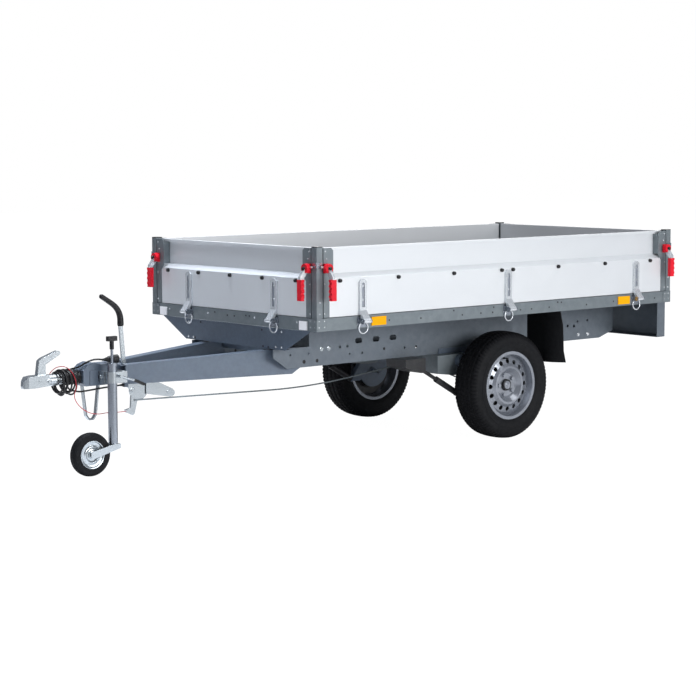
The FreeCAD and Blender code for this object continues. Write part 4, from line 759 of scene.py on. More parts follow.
@dataclass
class RoadWheel:
    """One road wheel: treaded tyre, hub cap in its ring, the drum's backing shield and the valve.

    Outlines are rows of (along the axle, radius), measured outwards.
    """
    shop: Workshop
    side: str
    segments: int = 504
    grooves: tuple = (-0.052, -0.018, 0.018, 0.052)
    groove_width: float = 0.0085
    groove_depth: float = 0.0065
    pitch_count: int = 84
    shoulder: tuple = (0.0565, 0.0785)
    shoulder_depth: float = 0.0052
    rib_edge: float = 0.047
    sipe_depth: float = 0.0030
    crown_half: float = 0.064
    crown_radius: float = 0.298
    crown_drop: float = 0.0045
    wall: tuple = ((0.071, 0.1785), (0.0725, 0.186), (0.0745, 0.1915), (0.0785, 0.1945), (0.081, 0.1985),
                   (0.0855, 0.206), (0.0895, 0.216), (0.0915, 0.2265), (0.0922, 0.2355), (0.0905, 0.2365),
                   (0.0913, 0.2385), (0.0908, 0.2455), (0.0888, 0.2555), (0.0893, 0.2575), (0.0862, 0.2675),
                   (0.0818, 0.2765), (0.0775, 0.2832), (0.0728, 0.2885), (0.0680, 0.2922))
    cap_ring: tuple = ((-0.004, 0.0255), (-0.004, 0.0305), (-0.002, 0.0315), (0.0, 0.0305), (0.0010, 0.0285),
                       (0.0004, 0.0255))
    cap_face: tuple = ((0.0004, 0.0), (0.0004, 0.0235), (0.0018, 0.0225), (0.0026, 0.018), (0.0024, 0.0))
    cap_nut: tuple = ((0.0024, 0.0), (0.0024, 0.010), (0.0034, 0.0095), (0.0034, 0.0))
    shield: tuple = ((-0.018, 0.100), (-0.018, 0.157), (-0.011, 0.161), (-0.0095, 0.158), (-0.014, 0.154),
                     (-0.0145, 0.100))
    stem: tuple = ((0.0, 0.0), (0.0, 0.0058), (0.008, 0.0052), (0.012, 0.0036), (0.026, 0.0034),
                   (0.027, 0.0045), (0.035, 0.0045), (0.036, 0.003), (0.036, 0.0))
    stem_place: tuple = (0.028, 0.046, 0.152)

    def profile(self) -> np.ndarray:
        """Cross-section of the tyre as (across, radius), from one bead over the tread to the other.

        In words: the crown's radius = its middle radius - drop x (share of the way to its edge) ^ 2.4.

        Returns:
            The outline's points.
        """
        tread = np.linspace(self.crown_half, -self.crown_half, 65)
        fall = self.crown_drop * (np.abs(tread) / self.crown_half) ** 2.4
        crown = np.stack([tread, self.crown_radius - fall], -1)
        left = np.array(self.wall)
        right = left[::-1] * (-1.0, 1.0)
        return np.concatenate([left, crown, right])

    def tyre(self) -> Form:
        """Tyre surface: grooves round the tread, sipes across its ribs and slots in its shoulders.

        In words: depth at a point = the deeper of the round groove's and the cross cut's depth there.

        Returns:
            The form, about the Y axis at the origin.
        """
        outline = self.profile()
        across = outline[:, 0]
        angle = np.arange(self.segments) * 2 * math.pi / self.segments
        step = np.arange(self.segments)[:, None]
        lane = np.abs(across)[None, :]
        round_cut = np.zeros(len(across))
        for groove in self.grooves:
            inside = np.clip(1.35 - np.abs(across - groove) / (self.groove_width / 2), 0, 1)
            round_cut = np.maximum(round_cut, inside * self.groove_depth)
        period = self.segments // self.pitch_count
        slant = np.round(lane * 40).astype(int)
        beat = (step + slant * np.sign(across)[None, :].astype(int)) % period
        shoulder = (lane > self.shoulder[0]) & (lane < self.shoulder[1]) & (beat < 2)
        sipe = (lane < self.rib_edge) & (beat == 3)
        cross = shoulder * self.shoulder_depth + sipe * self.sipe_depth
        radius = outline[:, 1][None, :] - np.maximum(round_cut[None, :], cross)
        x = radius * np.cos(angle)[:, None]
        z = radius * np.sin(angle)[:, None]
        y = np.broadcast_to(across, x.shape)
        points = np.stack([x, y, z], -1).reshape(-1, 3)
        return Form(points, grid_faces(self.segments, len(outline), True, True).tolist())

    def build(self) -> None:
        """Makes the wheel's pieces."""
        sign, outward = (1, "Y") if self.side == "left" else (-1, "-Y")
        body = "wheel_" + self.side
        centre = Vector((WHEEL_CENTRE.x, sign * WHEEL_CENTRE.y, WHEEL_CENTRE.z))
        mirror = Matrix.Translation(centre) @ Matrix.Diagonal((1, sign, 1, 1))
        self.shop.piece("road_tyre_" + self.side, self.tyre().moved(mirror), "tyre_rubber", body,
                        "tyre_" + self.side, smooth=40)
        low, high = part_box("hub_" + self.side)
        hub_face = stand((centre.x, high.y if sign > 0 else low.y, centre.z), outward)
        ahead_of, out, up = self.stem_place
        valve = stand((centre.x + ahead_of, centre.y + sign * out, centre.z + up), outward)
        cap = joined([lathe(self.cap_face, 40), lathe(self.cap_nut, 6)])
        parts = (("hub_cap_ring_", lathe(self.cap_ring, 44), hub_face, "black_plastic"),
                 ("hub_cap_face_", cap, hub_face, "silver_rim"),
                 ("drum_shield_", lathe(self.shield, 64), stand(centre, outward), "black_paint"),
                 ("valve_", lathe(self.stem, 14), valve, "black_rubber"))
        for name, form, place, slot in parts:
            self.shop.piece(name + self.side, form.moved(place), slot, body)


@dataclass
class JockeyWheel:
    """Small support wheel: its ribbed tyre and the rings pressed in its rim.

    Outlines are rows of (along the axle, radius), each for one half of the wheel.
    """
    shop: Workshop
    tyre_half: tuple = ((0.009, 0.1090), (0.0105, 0.1075), (0.012, 0.1085), (0.019, 0.1065), (0.0245, 0.101),
                        (0.0268, 0.094), (0.0266, 0.084), (0.0258, 0.082), (0.0268, 0.080), (0.0262, 0.072))
    tyre_crown: tuple = (0.0, 0.110)
    rim_half: tuple = ((0.0235, 0.0715), (0.0250, 0.0690), (0.0240, 0.0655), (0.0180, 0.0630),
                       (0.0145, 0.0560), (0.0155, 0.0480), (0.0195, 0.0440), (0.0205, 0.0390),
                       (0.0180, 0.0340), (0.0140, 0.0300), (0.0150, 0.0220), (0.0240, 0.0200),
                       (0.0250, 0.0160), (0.0250, 0.0066))

    def build(self) -> None:
        """Makes the wheel's pieces."""
        axle = stand(JOCKEY_CENTRE, "Y")
        tyre = [(-a, r) for a, r in self.tyre_half[::-1]] + [self.tyre_crown, *self.tyre_half]
        self.shop.piece("jockey_tread", lathe(tyre, 96).moved(axle), "tyre_rubber", "jockey_wheel",
                        "jockey_tyre")
        rim = [*self.rim_half] + [(-a, r) for a, r in self.rim_half[::-1]]
        self.shop.piece("jockey_rim_pressing", lathe(rim, 72).moved(axle), "galvanised", "jockey_wheel",
                        "jockey_rim", finish="hitch_zinc")


@dataclass
class DropSide:
    """Small parts on one drop side: rubber buffers, rivets, strap bolts, and darker zinc floors in the
    straps' slots as painted shade.

    The buffers and straps are given by their places along the side. The rivets and the end buffers
    stand as far in from both ends of it. A bolt's size is its corner radius and its height.
    """
    shop: Workshop
    side: str
    knobs: tuple
    straps: tuple
    knob_up: float = 0.948
    knob_sink: float = 0.003
    end_knob: tuple = (0.058, 0.033, 1.015)
    end_knob_scale: float = 0.95
    rivets: tuple = ((0.052, 0.785), (0.052, 0.935), (0.058, 1.100), (0.066, 1.062))
    rivet_radius: float = 0.0042
    bolts_up: tuple = (0.913, 0.842)
    bolt_size: tuple = (0.0062, 0.005)
    slot_up: float = 0.868
    slot_half: tuple = (0.0096, 0.0622)
    slot_depth: float = 0.005
    slot_corner: float = 0.0090
    slot_sink: float = 0.0025

    def where(self, along: float, out: float, up: float) -> tuple[float, float, float]:
        """Point on this side's outer face.

        Args:
            along: place along the side in the shared frame.
            out: how far outside the bed's outer face.
            up: height.
        Returns:
            The point.
        """
        if self.side in ("left", "right"):
            sign = 1 if self.side == "left" else -1
            return (along, sign * (HALF_WIDTH + out), up)
        if self.side == "front":
            return (FRONT_X + out, along, up)
        return (REAR_X - out, along, up)

    def build(self) -> None:
        """Makes the side's pieces."""
        axis = {"left": "Y", "right": "-Y", "front": "X", "rear": "-X"}[self.side]
        body = "board_" + self.side
        first, last = (REAR_X, FRONT_X) if axis[-1] == "Y" else (-HALF_WIDTH, HALF_WIDTH)
        ends = ((first, 1), (last, -1))
        knob = buffer_knob()
        buffers = [knob.moved(stand(self.where(a, -self.knob_sink, self.knob_up), axis)) for a in self.knobs]
        inset, out, up = self.end_knob
        buffers += [knob.moved(stand(self.where(end + way * inset, out, up), axis, self.end_knob_scale))
                    for end, way in ends]
        self.shop.piece("buffers_" + self.side, joined(buffers), "black_rubber", body)
        small = rivet(self.rivet_radius)
        fixings = [small.moved(stand(self.where(end + way * inset, 0.0, up), axis))
                   for end, way in ends for inset, up in self.rivets]
        bolt = hex_bolt(*self.bolt_size)
        fixings += [bolt.moved(stand(self.where(a, 0.0, up), axis))
                    for up in self.bolts_up for a in self.straps]
        self.shop.piece("fixings_" + self.side, joined(fixings), "galvanised", body)
        # Darker zinc floors fill the straps' slots: painted shade between each strap's legs
        floors = [slab(self.where(a, -self.slot_sink, self.slot_up), axis, *self.slot_half,
                       self.slot_depth, self.slot_corner) for a in self.straps]
        self.shop.piece("strap_slots_" + self.side, joined(floors), "galvanised", body, finish="shaded_slot_zinc")


@dataclass
class BedTrim:
    """Rivets, holes, plugs and bolts of the bed, and its mud flaps.

    Places on the sides are rows of (back from the bed's front, up), on the front faces (out, up). A
    plug's row ends with its radius, and a bolt's size is its corner radius and its height.
    """
    shop: Workshop
    rail_holes: tuple = ((0.491, 0.727), (0.715, 0.723), (0.955, 0.749), (1.018, 0.722), (1.158, 0.723),
                         (1.248, 0.722), (1.256, 0.749), (1.464, 0.723), (1.552, 0.723), (1.693, 0.724),
                         (1.762, 0.748), (1.792, 0.746), (2.000, 0.721), (2.229, 0.727), (2.589, 0.726))
    front_holes: tuple = ((-0.139, 0.744), (-0.030, 0.734), (0.030, 0.734), (0.130, 0.743), (0.159, 0.742))
    hole_radius: float = 0.0042
    apron_rivets: tuple = ((0.400, 0.675), (0.352, 0.592), (0.399, 0.594), (-0.400, 0.675), (-0.360, 0.594),
                           (-0.405, 0.594))
    apron_rivet_radius: float = 0.006
    apron_holes: tuple = ((-0.293, 0.679), (-0.345, 0.591), (0.238, 0.674), (0.247, 0.589), (0.291, 0.588))
    apron_hole_radius: float = 0.0052
    seam_up: float = 0.6935
    seam_half: tuple = (0.575, 0.0014)
    seam_depth: float = 0.0022
    seam_corner: float = 0.0012
    corner_insets: tuple = (0.014, 0.050)
    corner_heights: tuple = (0.717, 0.748)
    post_inset: float = 0.020
    post_heights: tuple = (0.785, 0.842)
    post_rivet_radius: float = 0.0045
    end_rivets: tuple = (-0.202, 0.202, -0.550, 0.550)
    end_rivets_up: float = 0.736
    beam_plugs: tuple = ((0.299, 0.500, 0.0095), (0.210, 0.501, 0.0105), (0.774, 0.530, 0.0075))
    beam_bolts: tuple = ((2.322, 0.5025), (2.405, 0.501))
    beam_bolt_size: tuple = (0.0080, 0.005)
    flap_inner: float = 0.445
    flap_curl_up: tuple = (0.0, 0.22, 0.71, 0.96, 1.0)
    flap_curl: tuple = (0.058, 0.040, 0.033, 0.014, 0.010)

    def corner_rivets(self) -> list[Form]:
        """Rivets of the corner sleeves, and of the posts that stand in them.

        Returns:
            The placed rivets.
        """
        small = rivet()
        post_rivet = rivet(self.post_rivet_radius)
        forms = []
        for x_face, way, axis in ((REAR_X, 1, "-X"), (FRONT_X, -1, "X")):
            for inset in self.corner_insets:
                for up in self.corner_heights:
                    forms += both_sides(small, x_face + way * inset, HALF_WIDTH, up)
                    forms += [small.moved(stand((x_face, side * (HALF_WIDTH - inset), up), axis))
                              for side in (-1, 1)]
            for up in self.post_heights:
                forms += both_sides(post_rivet, x_face + way * self.post_inset, HALF_WIDTH, up)
            forms += [small.moved(stand((x_face, out, self.end_rivets_up), axis)) for out in self.end_rivets]
        return forms

    def build(self) -> None:
        """Makes the trim's pieces."""
        seam = slab((APRON_X, 0.0, self.seam_up), "X", *self.seam_half, self.seam_depth, self.seam_corner)
        self.shop.piece("apron_seam", seam, "galvanised", "chassis")
        plugs = []
        for back, up, radius in self.beam_plugs:
            plugs += both_sides(rivet(radius), FRONT_X - back, BEAM_FACE, up)
        self.shop.piece("beam_plugs", joined(plugs), "black_rubber", "chassis")
        self.flaps()
        bright = self.corner_rivets()
        apron_rivet = rivet(self.apron_rivet_radius)
        bright += [apron_rivet.moved(stand((APRON_X, out, up), "X")) for out, up in self.apron_rivets]
        for back, up in self.beam_bolts:
            bright += both_sides(hex_bolt(*self.beam_bolt_size), FRONT_X - back, BEAM_FACE, up)
        self.shop.piece("bed_rivets", joined(bright), "galvanised", "chassis")
        drilled = hole(self.hole_radius)
        apron_hole = hole(self.apron_hole_radius)
        # The holes are black cups with black lips: painted shade inside the drilled holes
        dark = [drilled.moved(stand((FRONT_X, out, up), "X")) for out, up in self.front_holes]
        dark += [apron_hole.moved(stand((APRON_X, out, up), "X")) for out, up in self.apron_holes]
        for back, up in self.rail_holes:
            dark += both_sides(drilled, FRONT_X - back, HALF_WIDTH, up)
        self.shop.piece("bed_holes", joined(dark), "black_paint", "chassis")

    def flaps(self) -> None:
        """Makes the mud flaps, whose outer edges curl back, most at the bottom.

        In words: x = the flat face - curl at that height x (share of the way from the middle of the flap
        to its outer edge) squared.
        """
        low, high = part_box("mud_flaps")
        across, up = np.meshgrid(np.linspace(0, 1, 25), np.linspace(0, 1, 19))
        curl = np.interp(up, self.flap_curl_up, self.flap_curl)
        bend = curl * np.clip((across - 0.5) / 0.5, 0, 1) ** 2
        height = low.z + up * (high.z - low.z)
        forms = []
        for sign in (1, -1):
            out = sign * (self.flap_inner + across * (high.y - self.flap_inner))
            front = np.stack([high.x - bend, out, height], -1)
            back = np.stack([low.x - bend, out, height], -1)
            ring = np.concatenate([front, back[:, ::-1]], axis=1)
            rows, columns = ring.shape[:2]
            step = np.arange(columns // 2 - 1)
            end = np.stack([step, step + 1, columns - 2 - step, columns - 1 - step], -1)
            walls = grid_faces(rows, columns, False, True)
            faces = np.concatenate([walls, end, end + (rows - 1) * columns])
            forms.append(Form(ring.reshape(-1, 3), faces.tolist()))
        self.shop.piece("mud_flap_sheets", joined(forms), "black_rubber", "chassis", "mud_flaps",
                        finish="tyre_rubber")


@dataclass
class RearLamps:
    """Two lamp clusters: a dark housing with ribbed amber, red and clear lenses.

    Lenses are rows of (name, slot, where it starts and ends, inwards from the lamp's outer end).
    """
    shop: Workshop
    lenses: tuple = (("amber", "amber_lens", 0.000, 0.055), ("red", "red_lens", 0.057, 0.143),
                     ("clear", "white_lens", 0.145, 0.192))
    width: float = 0.200
    margin: tuple = (0.004, 0.005)
    lens_behind: float = 0.002
    lens_before: float = 0.013
    ribs: int = 7
    rib_depth: float = 0.0006
    housing_rings: tuple = ((0.0002, 0.0), (0.012, 0.0), (0.016, 0.003))
    around: int = 48

    def lens(self, low: Vector, high: Vector) -> Form:
        """Pillow-shaped lens with upright ribs, facing backwards.

        In words: depth = full depth x (1 - across^6) x (1 - up^6), less a small cosine of the ribs.

        Args:
            low: lowest corner of its box.
            high: highest corner of its box.
        Returns:
            The form.
        """
        u = np.linspace(-1, 1, 8 * self.ribs + 1)
        v = np.linspace(-1, 1, 19)
        uu, vv = np.meshgrid(u, v, indexing="ij")
        depth = (1 - uu ** 6) * (1 - vv ** 6) * (high.x - low.x)
        depth = depth - self.rib_depth * (0.5 + 0.5 * np.cos(uu * self.ribs * math.pi)) * (depth > 0.002)
        y = (low.y + high.y) / 2 + uu * (high.y - low.y) / 2
        z = (low.z + high.z) / 2 + vv * (high.z - low.z) / 2
        points = np.stack([high.x - np.clip(depth, 0.0, None), y, z], -1).reshape(-1, 3)
        back = points.copy()
        back[:, 0] = high.x + 0.001
        faces = grid_faces(len(u), len(v), False, False).tolist()
        faces += [[i + len(points) for i in face][::-1] for face in faces]
        return Form(np.concatenate([points, back]), faces)

    def housing(self, low: Vector, high: Vector, sign: int) -> Form:
        """Housing with rounded corners.

        In words: across and up = half size x |cosine| ^ 0.35 and half size x |sine| ^ 0.35.

        Args:
            low: lowest corner of the lamps' box.
            high: highest corner of the lamps' box.
            sign: 1 on the left, -1 on the right.
        Returns:
            The form.
        """
        angle = np.linspace(0, 2 * math.pi, self.around, endpoint=False)
        cosine = np.sign(np.cos(angle)) * np.abs(np.cos(angle)) ** 0.35
        sine = np.sign(np.sin(angle)) * np.abs(np.sin(angle)) ** 0.35
        rings = []
        for depth, inset in self.housing_rings:
            y = high.y - self.width / 2 + (self.width / 2 - inset) * cosine
            z = (low.z + high.z) / 2 + ((high.z - low.z) / 2 - inset) * sine
            rings.append(np.stack([np.full(self.around, high.x - depth), sign * y, z], -1))
        faces = grid_faces(len(rings), self.around, False, True).tolist()
        last = (len(rings) - 1) * self.around
        faces += [list(range(self.around)), list(range(last, last + self.around))[::-1]]
        return Form(np.concatenate(rings), faces)

    def build(self) -> None:
        """Makes the lamps' pieces."""
        low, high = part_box("tail_lamps")
        end, rim = self.margin
        for sign, side in ((1, "left"), (-1, "right")):
            for name, slot, start, stop in self.lenses:
                near, far = sorted((sign * (high.y - end - start), sign * (high.y - end - stop)))
                form = self.lens(Vector((low.x + self.lens_behind, near, low.z + rim)),
                                 Vector((high.x - self.lens_before, far, high.z - rim)))
                self.shop.piece("lamp_%s_%s" % (name, side), form, slot, "chassis")
        housings = joined([self.housing(low, high, sign) for sign in (1, -1)])
        self.shop.piece("lamp_housings", housings, "black_plastic", "chassis", "tail_lamps")


@dataclass
class Hitch:
    """The hitch's two cords with the plug, the handbrake's grip and link, small plates and bolts.

    The cords' points are chosen along the routes of the solids that they stand for. All places are
    measured from the bed's front, as (ahead, up) or (ahead, out, up). A bolt's size is its corner
    radius and its height, which end its row where they aren't given apart.
    """
    shop: Workshop
    lead_radius: float = 0.0045
    tie_radius: float = 0.002
    lower: list = field(default_factory=lambda: ahead([
        (0.712, 0.032, 0.427), (0.762, 0.032, 0.427), (0.838, 0.030, 0.422), (0.890, 0.027, 0.418),
        (0.944, 0.021, 0.4133), (0.974, 0.018, 0.4125)]))
    upper: list = field(default_factory=lambda: ahead([
        (0.972, 0.014, 0.5345), (0.946, 0.030, 0.553), (0.916, 0.047, 0.570), (0.888, 0.060, 0.5735),
        (0.858, 0.066, 0.569), (0.832, 0.066, 0.569)]))
    tie: list = field(default_factory=lambda: ahead([
        (0.682, 0.00775, 0.288), (0.712, 0.012, 0.287), (0.757, 0.030, 0.291), (0.800, 0.050, 0.297),
        (0.845, 0.066, 0.300), (0.893, 0.074, 0.298), (0.940, 0.076, 0.306), (0.985, 0.076, 0.328),
        (1.022, 0.076, 0.362), (1.041, 0.076, 0.402), (1.024, 0.076, 0.442), (1.026, 0.074, 0.484),
        (1.042, 0.062, 0.524), (1.060, 0.040, 0.548), (1.086, 0.016, 0.549), (1.112, 0.0, 0.534),
        (1.130, 0.0, 0.51405)]))
    coil_steps: int = 14
    coil_turns: tuple = (4.5, 4.0)
    coil_radii: tuple = (0.0530, 0.0092, 0.0030)
    coil_top: tuple = (0.5200, 0.0094)
    coil_run: tuple = (0.996, 0.100)
    coil_sway: tuple = (0.012, 0.008)
    boot: tuple = ((-0.001, 0.0), (-0.001, 0.0115), (0.004, 0.0115), (0.006, 0.0095), (0.010, 0.0098),
                   (0.012, 0.0082), (0.016, 0.0085), (0.018, 0.0070), (0.026, 0.0060), (0.030, 0.0054),
                   (0.030, 0.0))
    plug: tuple = ((0.0, 0.0), (0.0, 0.0185), (0.002, 0.0208), (0.009, 0.0208), (0.011, 0.0190),
                   (0.013, 0.0190), (0.015, 0.0208), (0.034, 0.0208), (0.037, 0.0175), (0.052, 0.0165),
                   (0.058, 0.0140), (0.0615, 0.0105), (0.0615, 0.0))
    gland: tuple = ((-0.001, 0.0), (-0.001, 0.0085), (0.004, 0.0085), (0.006, 0.0072), (0.009, 0.0075),
                    (0.011, 0.0063), (0.020, 0.0052), (0.020, 0.0))
    grip: tuple = ((0.704, 0, 0.724), (0.704, 0, 0.745), (0.7045, 0, 0.764), (0.709, 0, 0.784),
                   (0.718, 0, 0.804), (0.731, 0, 0.821), (0.749, 0, 0.8365), (0.774, 0, 0.8530),
                   (0.802, 0, 0.8705), (0.818, 0, 0.8802), (0.8255, 0, 0.8850))
    grip_start: float = 0.0150
    grip_radii: tuple = (0.0168, 0.0126)
    grip_end: tuple = (0.0122, 0.0104, 0.0062)
    grip_rib: float = 0.0007
    sleeve: tuple = ((0.742, 0.168, 0.4668), (0.6765, 0.168, 0.4388))
    sleeve_start: tuple = (0.0068, 0.0078)
    sleeve_radius: float = 0.0082
    sleeve_end: tuple = (0.0078, 0.0066, 0.0040)
    sleeve_groove: float = 0.0006
    housing_plate: tuple = (0.9035, 0.0498, 0.480)
    housing_plate_half: tuple = (0.0245, 0.037)
    housing_plate_depth: float = 0.004
    housing_plate_corner: float = 0.004
    tube_bolts: tuple = ((1.150, 0.481, 0.0105, 0.006), (1.205, 0.484, 0.0062, 0.004))
    tube_face: float = 0.0296
    lever_bolts: tuple = ((0.422, 0.0135, 0.366, 0.0085, 0.006), (0.640, 0.0060, 0.392, 0.0110, 0.007))
    clamp_bolt: tuple = (0.876, 0.074, 0.486)
    clamp_bolt_size: tuple = (0.0090, 0.006)
    leg_bolts: tuple = ((-0.331, 0.560), (-0.381, 0.560))
    leg_bolt_size: tuple = (0.0095, 0.006)
    link_arm: tuple = ((0.560, 0.446), (0.508, 0.432), (0.396, 0.381), (0.381, 0.366), (0.380, 0.352),
                       (0.392, 0.341), (0.412, 0.339), (0.560, 0.366))
    link_web: tuple = ((0.560, 0.4445), (0.508, 0.4305), (0.396, 0.3795), (0.398, 0.3765), (0.509, 0.4270),
                       (0.560, 0.4405))
    link_arm_out: float = 0.012
    link_arm_half: float = 0.0015
    link_web_half: float = 0.0120
    axle_plate: tuple = ((-1.176, 0.500), (-1.400, 0.500), (-1.400, 0.452), (-1.345, 0.395),
                         (-1.230, 0.395), (-1.176, 0.440))
    axle_plate_out: float = 0.3555
    axle_plate_half: float = 0.0025
    axle_bolts: tuple = ((-1.232, 0.462), (-1.340, 0.462))
    axle_bolt_out: float = 0.3578
    axle_bolt_size: tuple = (0.0085, 0.006)

    def curve(self, name: str, points: list, radius: float, slot: str) -> bpy.types.Object:
        """One smooth spline with a round section.

        Args:
            name: the piece's name.
            points: the spline's control points.
            radius: of the cord.
            slot: its material slot.
        Returns:
            The curve object.
        """
        data = bpy.data.curves.new(name, "CURVE")
        data.dimensions = "3D"
        spline = data.splines.new("NURBS")
        spline.points.add(len(points) - 1)
        for point, place in zip(spline.points, points):
            point.co = (*place, 1.0)
        spline.order_u = 3
        spline.use_endpoint_u = True
        spline.resolution_u = 6
        data.bevel_depth = radius
        data.bevel_resolution = 3
        data.use_fill_caps = True
        data.materials.append(self.shop.paints.get(slot))
        obj = bpy.data.objects.new(name, data)
        bpy.context.scene.collection.objects.link(obj)
        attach(obj, "chassis")
        return obj

    def coil(self) -> list[tuple[float, float, float]]:
        """Turns of the lead that hang on the bellows, inner turns forward and outer turns back.

        In words: each turn's top rests at one height, so its middle is that height less its own
        radius; the lower half of a turn swings forward or back by its own amount. The outer turns
        are wider, by a little more or less, and rest a little higher, on the inner ones.

        Returns:
            The control points.
        """
        inner, back = self.coil_turns
        narrow, wider, uneven = self.coil_radii
        top, higher = self.coil_top
        start, run = self.coil_run
        swing_all, swing_outer = self.coil_sway
        points = []
        for i in range(1, int((inner + back) * self.coil_steps)):
            turn = i / self.coil_steps
            angle = -math.pi / 2 - turn * 2 * math.pi
            outer = min(max((turn - inner) * 2.0, 0.0), 1.0)
            radius = narrow + wider * outer + uneven * outer * math.sin(turn * 4.1)
            middle = top + higher * outer - radius
            travel = turn / inner if turn < inner else 1 - (turn - inner) / back
            sway = swing_all * math.sin(turn * 2.3) + swing_outer * outer * math.sin(turn)
            swing = (1 - math.sin(angle)) / 2 * sway
            forward = start + run * travel + swing * (0.4 + 0.6 * outer)
            points.append((forward, radius * math.cos(angle), middle + radius * math.sin(angle)))
        return ahead(points)

    def cords(self) -> None:
        """Makes the lead with its coil and plug, and the red breakaway cable."""
        route = self.lower + self.coil() + self.upper
        lead = self.curve("trailer_lead", route, self.lead_radius, "black_rubber")
        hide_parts("lead_lower", "cable_coil", "lead_upper")
        low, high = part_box("plug")
        tail = (low.x, (low.y + high.y) / 2, (low.z + high.z) / 2)
        plug = self.shop.piece("lead_plug", lathe(self.plug, 40).moved(stand(tail, "X")), "black_plastic",
                               "chassis", "plug")
        sleeve = self.shop.piece("plug_boot", lathe(self.boot, 26).moved(stand(self.upper[-1], "X")),
                                 "black_rubber", "chassis")
        self.shop.piece("lead_gland", lathe(self.gland, 22).moved(stand(self.lower[0], "X")),
                        "black_rubber", "chassis")
        tie = self.curve("breakaway_wire", self.tie, self.tie_radius, "red_cable")
        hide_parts("breakaway_cable")

    def build(self) -> None:
        """Makes the hitch's solid pieces."""
        self.brake_grip()
        self.bolts()
        x, out, up = self.housing_plate
        plates = [slab((FRONT_X + x, side * out, up), axis, *self.housing_plate_half,
                       self.housing_plate_depth, self.housing_plate_corner)
                  for side, axis in ((1, "Y"), (-1, "-Y"))]
        self.shop.piece("housing_plates", joined(plates), "blue_grey_paint", "chassis")
        self.clamp_sleeve()
        self.brake_link()
        self.brackets()

    def brake_grip(self) -> None:
        """Makes the handbrake's grip.

        In words: a tube along the evened-out line, thinner towards its end, with a shallow groove at
        every third ring of its middle.
        """
        line = np.array(ahead(self.grip))
        share = np.linspace(0, 1, 61)
        length = np.concatenate([[0], np.cumsum(np.linalg.norm(np.diff(line, axis=0), axis=1))])
        smooth = np.stack([np.interp(share * length[-1], length, line[:, i]) for i in range(3)], -1)
        for _ in range(6):
            smooth[1:-1] = (smooth[:-2] + 2 * smooth[1:-1] + smooth[2:]) / 4
        thick, thin = self.grip_radii
        radii = thick - (thick - thin) * share
        radii[:2] = self.grip_start
        radii[-3:] = self.grip_end
        grooved = (share > 0.45) & (share < 0.9) & (np.arange(len(share)) % 3 == 0)
        self.shop.piece("brake_grip", swept(smooth, radii - self.grip_rib * grooved, 26), "black_rubber",
                        "chassis", "handbrake_grip")

    def bolts(self) -> None:
        """Makes the bolts of the draw tube, clamp, lever and drawbar legs."""
        bolts = []
        for place, up, radius, height in self.tube_bolts:
            bolts += both_sides(hex_bolt(radius, height), FRONT_X + place, self.tube_face, up)
        bolts.append(hex_bolt(*self.clamp_bolt_size).moved(stand(ahead([self.clamp_bolt])[0], "X")))
        for *place, radius, height in self.lever_bolts:
            bolts.append(hex_bolt(radius, height).moved(stand(ahead([place])[0], "Y")))
        for place, up in self.leg_bolts:
            bolts += both_sides(hex_bolt(*self.leg_bolt_size), FRONT_X + place, BEAM_FACE, up)
        self.shop.piece("hitch_bolts", joined(bolts), "galvanised", "chassis", finish="hitch_zinc")

    def clamp_sleeve(self) -> None:
        """Makes the ribbed rubber sleeve on the clamp's lever.

        In words: a straight tube with rounded ends and a groove at every second ring of its middle.
        """
        line = np.linspace(*ahead(self.sleeve), 19)
        radii = np.full(len(line), self.sleeve_radius)
        radii[:2] = self.sleeve_start
        radii[-3:] = self.sleeve_end
        radii[4:15:2] -= self.sleeve_groove
        self.shop.piece("clamp_sleeve", swept(line, radii, 22), "black_rubber", "chassis")

    def brake_link(self) -> None:
        """Makes the folded link behind the brake lever: two arms and the web between them."""
        arm = [(FRONT_X + x, z) for x, z in self.link_arm]
        web = [(FRONT_X + x, z) for x, z in self.link_web]
        forms = [plate(arm, side * self.link_arm_out, self.link_arm_half) for side in (1, -1)]
        forms.append(plate(web, 0.0, self.link_web_half))
        self.shop.piece("brake_link", joined(forms), "galvanised", "chassis", finish="hitch_zinc")

    def brackets(self) -> None:
        """Makes the axle's mounting brackets below the side beams, with their bolts."""
        corners = [(FRONT_X + x, z) for x, z in self.axle_plate]
        plates = [plate(corners, side * self.axle_plate_out, self.axle_plate_half) for side in (1, -1)]
        self.shop.piece("axle_brackets", joined(plates), "blue_grey_paint", "chassis")
        bolts = []
        for place, up in self.axle_bolts:
            bolts += both_sides(hex_bolt(*self.axle_bolt_size), FRONT_X + place, self.axle_bolt_out, up)
        self.shop.piece("axle_bracket_bolts", joined(bolts), "galvanised", "chassis", finish="hitch_zinc")


@dataclass(frozen=True)
class Lamp:
    """One soft rectangular light: its place, what it faces, its size, watts, colour and beam angle."""
    name: str
    place: tuple
    target: tuple
    size: tuple
    power: float
    colour: tuple = (1, 1, 1)
    spread: float = 180.0

    def build(self) -> None:
        """Puts the light in the scene."""
        data = bpy.data.lights.new(self.name, "AREA")
        data.shape = "RECTANGLE"
        data.size, data.size_y = self.size
        data.energy = self.power
        data.color = self.colour
        data.spread = math.radians(self.spread)
        light = bpy.data.objects.new(self.name, data)
        turn = (Vector(self.target) - Vector(self.place)).to_track_quat("-Z", "Y").to_matrix().to_4x4()
        light.matrix_world = Matrix.Translation(self.place) @ turn
        bpy.context.scene.collection.objects.link(light)


